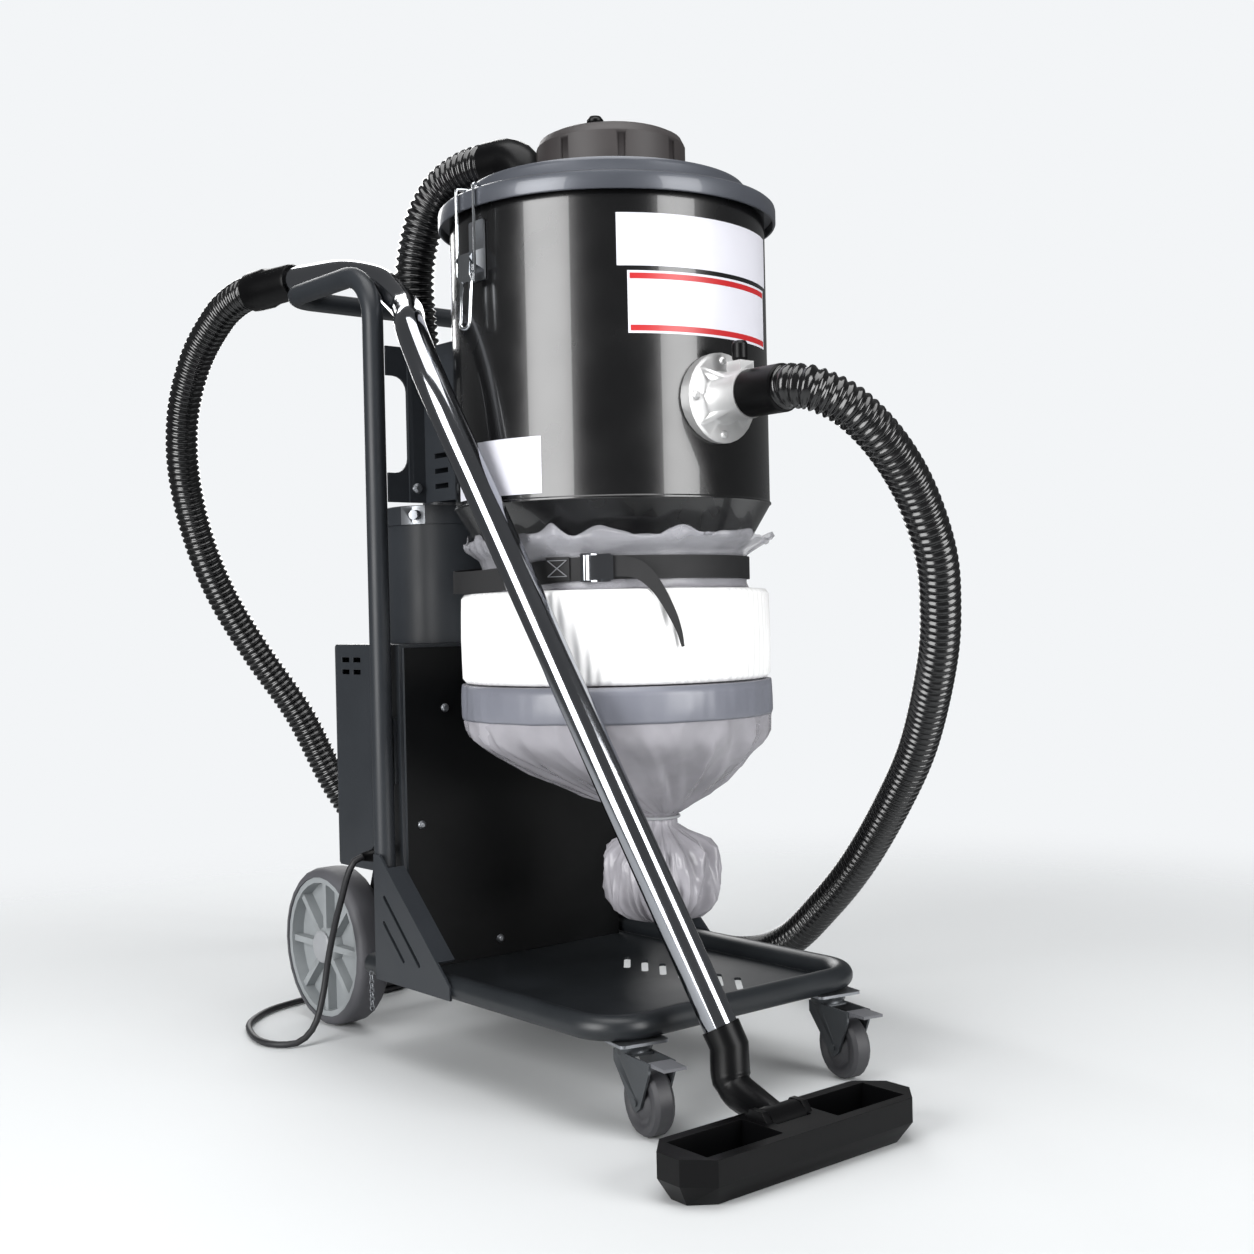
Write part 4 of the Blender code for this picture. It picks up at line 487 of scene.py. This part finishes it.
# Stoved enamel under a clear coat: deep black with sharp, slightly wavy reflections.
enamel = finish("gloss_black_enamel", "0a0a0b", 0.25, grain=0.0016, bump=0.05, patches=0.05,
                Coat_Weight=0.5)
DRUM_R, DRUM_TOP, WALL, BEAD, CONE_TOP = 0.180, 0.969, 0.002, 0.0015, 0.637
NECK_R, NECK_TOP, NECK_END = 0.149, 0.587, 0.500
drum_outline = [(DRUM_R, DRUM_TOP), (DRUM_R, CONE_TOP + 0.004), (DRUM_R + BEAD, CONE_TOP + 0.0025),
                (DRUM_R + BEAD, CONE_TOP + 0.001), (DRUM_R, CONE_TOP), (NECK_R + 0.005, NECK_TOP + 0.006),
                (NECK_R, NECK_TOP), (NECK_R, NECK_END), (NECK_R - WALL, NECK_END),
                (NECK_R - WALL, NECK_TOP + 0.001), (NECK_R + 0.003, NECK_TOP + 0.007),
                (DRUM_R - WALL, CONE_TOP + 0.001), (DRUM_R - WALL, DRUM_TOP)]
drum = lathed("enamelled_drum", drum_outline, at(0, DRUM_Y, 0), enamel, steps=192)
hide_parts("drum_shell")
plate_heads(refined("drum_bracket", slate, 0.0005),
            [(side * 0.134, 0.1525, z) for side in (-1, 1) for z in (0.672, 0.821)], 0.008)
refined("main_filter", media)
# Coated label film, white and red: smooth, with a soft sheen.
paper = finish("label_white", "d4d4dc", 0.35, grain=0.004, bump=0.01, patches=0.02)
red = finish("label_red", "b32024", 0.35, grain=0.004, bump=0.01, patches=0.03)
label("upper_label", -36.4, 36.4, 0.878, 0.933, paper)
label("lower_label", -33.0, 33.0, 0.808, 0.873, paper)
for place, low in (("top", 0.8645), ("foot", 0.8105)):
    label("lower_label_rule_" + place, -32.2, 32.2, low, low + 0.006, red, 0.0006)
label("side_label", 63.6, 108.7, 0.645, 0.705, paper)
label("sliver_label", 118.0, 136.0, 0.862, 0.928, paper)

# ================================================================ inlet
# Sand-cast aluminium flange with ribs, bolted to the drum's front, and a moulded cuff that the hose
# pushes into. A sprung knob on top locks the cuff.
# Its sand-cast skin sparkles a little and is rough to about a millimetre.
cast = finish("cast_aluminium", "c9c9c9", 0.42, 0.7, grain=0.0011, bump=0.18)
refined("inlet_flange", cast)
refined("inlet_cuff", black_moulding)
refined("lock_knob", black_moulding)

# ================================================================ lid and pulse cleaner
# Spun steel lid in blue-grey metallic paint: a raised disc inside a rolled rim that hangs over the
# drum. On it stand the outlet elbow and the pulse cleaner's moulded cap, with its disc and push knob.
# Metallic paint: fine bright flake under clear coat, so its rim catches a soft band of light.
lid_blue = finish("blue_grey_metallic", "4b4e55", 0.36, 0.3, grain=0.0012, bump=0.03, patches=0.04,
                  Coat_Weight=0.3)
cap_brown = finish("brown_grey_moulding", "2e2a2a", 0.55, grain=0.0012, bump=0.10)
LID_R, LID_TOP, LID_EDGE, RIM_FOOT = 0.193, 0.998, 0.976, 0.955
lid_outline = [(0, LID_TOP), (0.1555, LID_TOP), (0.1582, LID_TOP - 0.0006), (0.1596, LID_TOP - 0.0022),
               (0.1602, LID_TOP - 0.005), (0.1608, LID_EDGE + 0.0022), (0.1618, LID_EDGE + 0.0006),
               (0.1640, LID_EDGE), (LID_R - 0.006, LID_EDGE), (LID_R - 0.003, LID_EDGE - 0.0009),
               (LID_R - 0.0008, LID_EDGE - 0.003), (LID_R, LID_EDGE - 0.006), (LID_R, RIM_FOOT + 0.002),
               (LID_R - 0.0008, RIM_FOOT + 0.0002), (LID_R - 0.003, RIM_FOOT),
               (LID_R - 0.003, DRUM_TOP - 0.0037), (DRUM_R + 0.001, DRUM_TOP + 0.0003),
               (0.157, DRUM_TOP + 0.0003), (0.154, LID_TOP - 0.004), (0, LID_TOP - 0.004)]
lid = lathed("painted_lid", lid_outline, at(0, DRUM_Y, 0), lid_blue, steps=160)
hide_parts("lid")
refined("pulse_cap", cap_brown)
CAP_TOP = LID_TOP + 0.060
disc_outline = [(0, CAP_TOP + 0.0003), (0.045, CAP_TOP + 0.0003), (0.045, CAP_TOP + 0.0012),
                (0.0435, CAP_TOP + 0.0018), (0, CAP_TOP + 0.0018)]
lathed("cap_disc", disc_outline, at(0.012, -0.060, 0), pale_grey, steps=64)
refined("pulse_knob", black_moulding)
refined("lid_elbow", black_moulding)

# ================================================================ toggle latches
# Two over-centre latches hold the lid down: a plated plate on the drum, a bright lever that folds
# down against it, and a wire bail from the lever over the lid's rim.
# Nickel plate: brighter and smoother than the zinc round it.
bright_wire = finish("bright_nickel_plate", "c4c7cb", 0.18, 1.0, grain=0.003, bump=0.02)
for hand in ("left", "right"):
    refined("latch_plate_" + hand, zinc)
    refined("latch_lever_" + hand, bright_wire)
    refined("latch_bail_" + hand, bright_wire)

# ================================================================ outlet hose
# The same ribbed hose, short, clamped between the lid's elbow and the canister's lid.
ELBOW_END = Vector((-0.050, 0.112, 1.062))
elbow_way = (ELBOW_END - Vector((-0.035, 0.055, 1.062))).normalized()
outlet_stops = [ELBOW_END + elbow_way * 0.0003, ELBOW_END + elbow_way * 0.020, (-0.062, 0.160, 1.057),
                (-0.070, 0.190, 1.042), (-0.076, 0.218, 1.008), (-0.077, 0.240, 0.950),
                (-0.070, 0.246, 0.880), (-0.062, 0.240, 0.800), (CAN_X - 0.005, CAN_Y + 0.002, 0.730),
                (CAN_X, CAN_Y, CAN_PORT_TOP + 0.018), (CAN_X, CAN_Y, CAN_PORT_TOP)]
outlet, outlet_line = ribbed("outlet_hose", [at(*p) for p in outlet_stops], 0.0252, 0.0036, hose_black)
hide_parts("suction_hose")

# ================================================================ packed bag ring
# The bag's supply: thin white polythene film folded in tight pleats into a ring round the neck, from
# which new bag is drawn down.
# Many layers of white film: opaque, with a waxy sheen.
ring_white = finish("packed_film_white", "eeeeee", 0.42, grain=0.004, bump=0.05, patches=0.03)
RING_LOW, RING_TOP, PLEATS, PLEAT_DEPTH = 0.441, 0.543, 90, 0.0009
ring_rows = [(0.152, RING_TOP, 0.0), (0.158, RING_TOP + 0.0002, 0.3), (0.172, RING_TOP - 0.001, 0.6),
             (0.1755, RING_TOP - 0.006, 1.0), (0.176, 0.518, 1.0), (0.1765, 0.492, 1.0), (0.176, 0.466, 1.0),
             (0.1755, RING_LOW + 0.006, 1.0), (0.172, RING_LOW + 0.001, 0.6), (0.158, RING_LOW, 0.3),
             (0.152, RING_LOW, 0.0)]
STEPS = 720
points = []
for radius, z, share in ring_rows:
    for i in range(STEPS):
        turn = 2 * math.pi * i / STEPS
        wander = 6 * noise.noise(Vector((math.cos(turn) * 4, math.sin(turn) * 4, z * 6)))
        reach = radius + PLEAT_DEPTH * share * math.sin(turn * PLEATS + wander)
        points.append(at(reach * math.cos(turn), DRUM_Y + reach * math.sin(turn), z))
ring_faces = quads(len(ring_rows), STEPS, join_rows=True)
ring = mesh_piece("packed_film_ring", points, ring_faces, ring_white, angle=60)
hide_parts("bag_cassette")


# ================================================================ bag
# Clear polythene film drawn down from the ring, hanging full and creased, and tied off above a loose
# pouch. Its top edge flares over the strap, and a doubled band of film runs round under the ring.
def folds(turn, z, depth, count):
    """How far gathered film stands out at a bearing and height: fine gathers on broad creased facets."""
    across = Vector((math.cos(turn), math.sin(turn), 0))
    drift = noise.noise(across * 2 + Vector((0, 0, z * 5)))
    creases = 1 - 4 * abs(noise.noise(across * 3.2 + Vector((0, 0, z * 13 + 3))))
    sharp = 1 - 4 * abs(noise.noise(across * 7 + Vector((z * 22, 0, z * 9 + 8))))
    gathers = math.sin(turn * count + 6 * drift)
    return depth * (0.20 * gathers + 0.90 * creases + 0.50 * sharp + 0.9 * drift)


def film_skin(name, rows, material, sag=0.0, closed=True):
    """A round sheet of film through rows of (centre x, y, height, radius, fold depth, fold count)."""
    steps = 360
    points = []
    for row, (cx, cy, z, radius, depth, count) in enumerate(rows):
        for i in range(steps):
            turn = 2 * math.pi * i / steps
            reach = radius + folds(turn, z, depth, count)
            height = z + 0.3 * folds(turn + 1.7, z, depth, 7)
            if row == 0:
                height += sag * noise.noise(Vector((math.cos(turn) * 5, math.sin(turn) * 5, 1.0)))
            points.append(at(cx + reach * math.cos(turn), cy + reach * math.sin(turn), height))
    faces = quads(len(rows), steps)
    if closed:
        faces.append(ends(len(rows), steps)[1])
    skin = mesh_piece(name, points, faces, material, angle=180)
    wall = skin.modifiers.new("film_wall", "SOLIDIFY")
    wall.thickness, wall.offset = FILM_WALL, -1.0
    return skin


# Film seen against the light: milky where it is doubled or creased, see-through where it is single.
film = finish("clear_bag_film", "aaa8ae", 0.24, grain=0.02, bump=0.05, patches=0.16, Alpha=0.64)
thin_film = finish("loose_film", "b0b0b6", 0.22, grain=0.02, bump=0.05, patches=0.14, Alpha=0.42)
band_film = finish("doubled_film", "70727b", 0.34, grain=0.02, bump=0.03, patches=0.05)
FILM_WALL = 0.0004
TIE_X, TIE_Y, TIE_Z, TIE_R, TIE_WIRE = 0.036, -0.080, 0.280, 0.0215, 0.0018
bag_rows = [(0, DRUM_Y, 0.570, 0.1512, 0.0002, 46), (0, DRUM_Y, 0.555, 0.1512, 0.0002, 46),
            (0, DRUM_Y, 0.545, 0.1512, 0.0002, 46), (0, DRUM_Y, 0.4402, 0.1512, 0.0, 46),
            (0, DRUM_Y, 0.4398, 0.1766, 0.0, 60), (0, DRUM_Y, 0.432, 0.1768, 0.0002, 60),
            (0, DRUM_Y, 0.418, 0.1768, 0.0003, 60), (0, DRUM_Y, 0.404, 0.1766, 0.0006, 50),
            (0.000, DRUM_Y, 0.398, 0.1755, 0.0016, 40), (0.001, DRUM_Y, 0.390, 0.1738, 0.0024, 36),
            (0.002, -0.051, 0.381, 0.1705, 0.0030, 34), (0.003, -0.052, 0.373, 0.1650, 0.0034, 32),
            (0.005, -0.054, 0.364, 0.1555, 0.0038, 30), (0.008, -0.057, 0.353, 0.1410, 0.0044, 28),
            (0.013, -0.061, 0.338, 0.1190, 0.0048, 26), (0.019, -0.066, 0.322, 0.0925, 0.0052, 26),
            (0.024, -0.070, 0.309, 0.0690, 0.0052, 24), (0.030, -0.075, 0.297, 0.0445, 0.0045, 22),
            (0.034, -0.079, 0.289, 0.0270, 0.0032, 20)]
pouch_rows = [(TIE_Z + 0.006, 0.0185, 0.0016, 18), (TIE_Z - 0.006, 0.0185, 0.0016, 18),
              (TIE_Z - 0.014, 0.0300, 0.0036, 18), (0.256, 0.0480, 0.0062, 14), (0.246, 0.0580, 0.0066, 12),
              (0.234, 0.0615, 0.0064, 11), (0.220, 0.0625, 0.0062, 10), (0.205, 0.0620, 0.0062, 10),
              (0.191, 0.0590, 0.0062, 10), (0.179, 0.0520, 0.0056, 10), (0.170, 0.0410, 0.0040, 12),
              (0.1640, 0.0240, 0.0020, 12), (0.1620, 0.0030, 0.0, 12)]
band_rows = [(0.4402, 0.1660, 0.0), (0.4396, 0.1776, 0.0002), (0.430, 0.1785, 0.0006),
             (0.418, 0.1786, 0.0008), (0.404, 0.1782, 0.0008), (0.401, 0.1774, 0.0006)]
ruffle_rows = [(0.006, DRUM_Y - 0.004, 0.6030, 0.1720, 0.0036, 13),
               (0.006, DRUM_Y - 0.004, 0.6000, 0.1735, 0.0040, 13),
               (0.005, DRUM_Y - 0.003, 0.5955, 0.1715, 0.0042, 15),
               (0.003, DRUM_Y - 0.002, 0.5900, 0.1660, 0.0040, 17),
               (0.001, DRUM_Y, 0.5845, 0.1590, 0.0026, 21), (0, DRUM_Y, 0.5800, 0.1536, 0.0008, 30),
               (0, DRUM_Y, 0.5720, 0.1517, 0.0001, 46), (0, DRUM_Y, 0.550, 0.1517, 0.0001, 46),
               (0, DRUM_Y, 0.544, 0.1535, 0.0016, 26)]
bag = film_skin("film_bag", bag_rows + [(TIE_X, TIE_Y, *row) for row in pouch_rows], film)
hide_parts("dust_bag")
film_skin("film_band", [(0, DRUM_Y, *row, 60) for row in band_rows], band_film, closed=False)
film_skin("film_ruffle", ruffle_rows, thin_film, sag=0.016, closed=False)
tie_line = [at(TIE_X + TIE_R * math.cos(i * math.pi / 12), TIE_Y + TIE_R * math.sin(i * math.pi / 12),
               TIE_Z + 0.00015 * i) for i in range(25)]
swept("bag_tie", tie_line, TIE_WIRE, pale_grey, 12)

# ================================================================ strap and buckle
# Black polyester webbing strapped round the neck over the bag, drawn tight in a chromed cam buckle, its
# near side standing off in a slack loop. Its sewn end is folded back, and its cut tail hangs free.
# Webbing is dull with a rib of about 1.2 mm; chrome mirrors the lamps in sharp streaks.
strap_web = finish("black_webbing", "121214", 0.70, grain=0.0012, bump=0.4)
thread = finish("grey_thread", "77787c", 0.7, grain=0.0008, bump=0.2)
chrome = finish("chrome_plate", "9c9ea3", 0.10, 1.0, grain=0.02, bump=0.01, patches=0.02)
STRAP_Z, STRAP_W, STRAP_T, STRAP_R, SLACK = 0.566, 0.025, 0.0016, 0.1536, 0.030
STEPS = 240
points = []
for i in range(STEPS):
    turn = 2 * math.pi * i / STEPS
    loop = SLACK * max(0.0, math.cos(turn - math.radians(143))) ** 9
    reach = STRAP_R + loop + 0.0004 * noise.noise(Vector((math.cos(turn) * 3, math.sin(turn) * 3, 0)))
    drop = 0.011 * max(0.0, math.cos(turn - math.radians(160))) ** 4
    for lift, up in ((0, -0.5), (STRAP_T, -0.5), (STRAP_T, 0.5), (0, 0.5)):
        radius = reach + lift
        height = STRAP_Z + up * STRAP_W - drop
        points.append(at(radius * math.cos(turn), DRUM_Y + radius * math.sin(turn), height))
strap = mesh_piece("webbing_strap", points, quads(STEPS, 4, join_rows=True), strap_web, angle=50)
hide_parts("strap")
refined("buckle_frame", chrome)
refined("buckle_lever", chrome)


def ribbon(name, stops, widths, material):
    """A flat band standing on edge round the neck, through stops of (bearing, radius, height), with
    bearings in degrees from the front towards the near side and its widths shared out along it."""
    places = []
    for bearing, radius, z in stops:
        turn = math.radians(bearing)
        places.append(at(-radius * math.sin(turn), DRUM_Y - radius * math.cos(turn), z))
    spine = curve_through(places, 0.004)
    last = len(spine) - 1
    points = []
    for i, here in enumerate(spine):
        along = (spine[min(i + 1, last)] - spine[max(i - 1, 0)]).normalized()
        out = Vector((here.x - PLACE.x, here.y - PLACE.y - DRUM_Y, 0)).normalized()
        out = (out - along * out.dot(along)).normalized()
        share = i / last * (len(widths) - 1)
        k = min(int(share), len(widths) - 2)
        width = widths[k] + (widths[k + 1] - widths[k]) * (share - k)
        across = out.cross(along)
        face = across.cross(along)
        for side, lift in ((-0.5, 0), (0.5, 0), (0.5, RIBBON_T), (-0.5, RIBBON_T)):
            points.append(here + across * (side * width) + face * lift)
    return mesh_piece(name, points, quads(last + 1, 4) + ends(last + 1, 4), material, angle=50)


RIBBON_T, THREAD_W, SEAM = 0.0014, 0.0008, 0.0085
ribbon("strap_stitched_end", [(67, 0.1570, STRAP_Z), (62, 0.1572, STRAP_Z), (57, 0.1572, STRAP_Z)],
       [0.0245, 0.0245], strap_web)
for offset in (-SEAM, SEAM):
    ribbon("strap_stitching", [(66, 0.1588, STRAP_Z + offset), (62, 0.1589, STRAP_Z + offset),
                               (58, 0.1588, STRAP_Z + offset)], [THREAD_W] * 2, thread)
for start, stop in ((66, 58), (58, 66)):
    ribbon("strap_stitching_cross", [(start, 0.1588, STRAP_Z - SEAM), (62, 0.1589, STRAP_Z),
                                     (stop, 0.1588, STRAP_Z + SEAM)], [THREAD_W] * 2, thread)
ribbon("strap_tail", [(43, 0.1590, STRAP_Z), (37, 0.1600, 0.567), (30, 0.1650, 0.562), (25, 0.1760, 0.545),
                      (21, 0.1835, 0.520), (18, 0.1830, 0.498), (16.5, 0.1815, 0.481)],
       [0.024, 0.020, 0.013, 0.009, 0.003], strap_web)

# ================================================================ wand and floor nozzle
# Bent steel tube, chrome plated, with the hose's moulded cuff on its upper end. It rests over the
# handle's grip and stands in the moulded elbow of the floor nozzle, whose head rocks on the elbow.
FOOT, BEND = Vector((-0.106, -0.327, 0.112)), Vector((-0.228, -0.005, 0.800))
WAND_R = 0.0175
wand_stops = [FOOT + (BEND - FOOT) * share for share in (0, 0.2, 0.4, 0.6, 0.8, 0.95)]
wand_stops += [Vector(p) for p in ((-0.216, 0.030, 0.833), (-0.192, 0.072, 0.858), (-0.167, 0.118, 0.878),
                                   (-0.152, 0.171, 0.905), (-0.146, 0.217, 0.930), (-0.147, 0.297, 0.952),
                                   (-0.150, HANDLE_BACK, HANDLE_Z + 0.0303))]
wand_stops += [WAND_END - cuff_way * 0.014, WAND_END]
wand = swept("chromed_wand", curve_through([at(*p) for p in wand_stops], 0.012), WAND_R, chrome, 48)
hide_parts("wand")
refined("wand_cuff", black_moulding)
refined("nozzle_elbow", black_moulding)
refined("nozzle_head", black_moulding, 0.0015)

# ================================================================ floor, lamps and background
# A matt, pale studio floor that fades out into an even background, with two tall softboxes that draw
# the upright highlights on the drum, and a top and a rim lamp.
FLOOR, BACKGROUND = "cccecf", "f3f5f7"
stage_white = bpy.data.materials.new("studio_floor")
stage_white.use_nodes = True
stage_tree = stage_white.node_tree
stage_shader = stage_tree.nodes["Principled BSDF"]
stage_shader.inputs["Base Color"].default_value = colour(FLOOR)
stage_shader.inputs["Roughness"].default_value = 0.9
middle = stage_tree.nodes.new("ShaderNodeTexCoord").outputs["Object"]
reach = node(stage_tree, "ShaderNodeVectorMath", Vector=middle)
reach.operation = "LENGTH"
fade = node(stage_tree, "ShaderNodeMapRange", Value=reach.outputs["Value"], From_Min=0.7, From_Max=2.2,
            To_Min=1.0, To_Max=0.0)
fade.interpolation_type = "SMOOTHERSTEP"
stage_tree.links.new(fade.outputs["Result"], stage_shader.inputs["Alpha"])
bpy.ops.mesh.primitive_plane_add(size=6, location=(0, 0, -0.0005))
ground = bpy.context.object
ground.name = "studio_ground"
ground.data.materials.append(stage_white)


def lamp(name, place, width, power, towards, tall=None):
    """An area lamp that looks towards a point."""
    data = bpy.data.lights.new(name, "AREA")
    data.energy, data.size = power, width
    if tall:
        data.shape, data.size_y = "RECTANGLE", tall
    made = bpy.data.objects.new(name, data)
    bpy.context.scene.collection.objects.link(made)
    made.location = place
    made.rotation_euler = (Vector(towards) - Vector(place)).to_track_quat("-Z", "Y").to_euler()


lamp("left_softbox", (-3.0, -0.50, 1.1), 1.8, 125, (0, 0, 0.7), tall=2.4)
lamp("right_softbox", (0.55, -3.1, 1.1), 1.5, 96, (0, 0, 0.7), tall=2.4)
lamp("top_softbox", (-0.4, -0.5, 3.2), 2.4, 72, (0, 0, 0.5))
lamp("rim_light", (1.4, 3.0, 2.0), 2.2, 80, (0, 0, 0.5))
# The background is full white to the camera only; what it lights is a weak, even fill.
world = bpy.data.worlds.new("studio_world")
world.use_nodes = True
world_tree = world.node_tree
backdrop = world_tree.nodes["Background"]
backdrop.inputs["Color"].default_value = colour(BACKGROUND)
fill = node(world_tree, "ShaderNodeBackground", Color=colour(BACKGROUND), Strength=0.15)
seen = world_tree.nodes.new("ShaderNodeLightPath").outputs["Is Camera Ray"]
either = world_tree.nodes.new("ShaderNodeMixShader")
world_tree.links.new(seen, either.inputs[0])
world_tree.links.new(fill.outputs["Background"], either.inputs[1])
world_tree.links.new(backdrop.outputs["Background"], either.inputs[2])
world_tree.links.new(either.outputs["Shader"], world_tree.nodes["World Output"].inputs["Surface"])
bpy.context.scene.world = world
bpy.context.scene.view_settings.view_transform = "Standard"
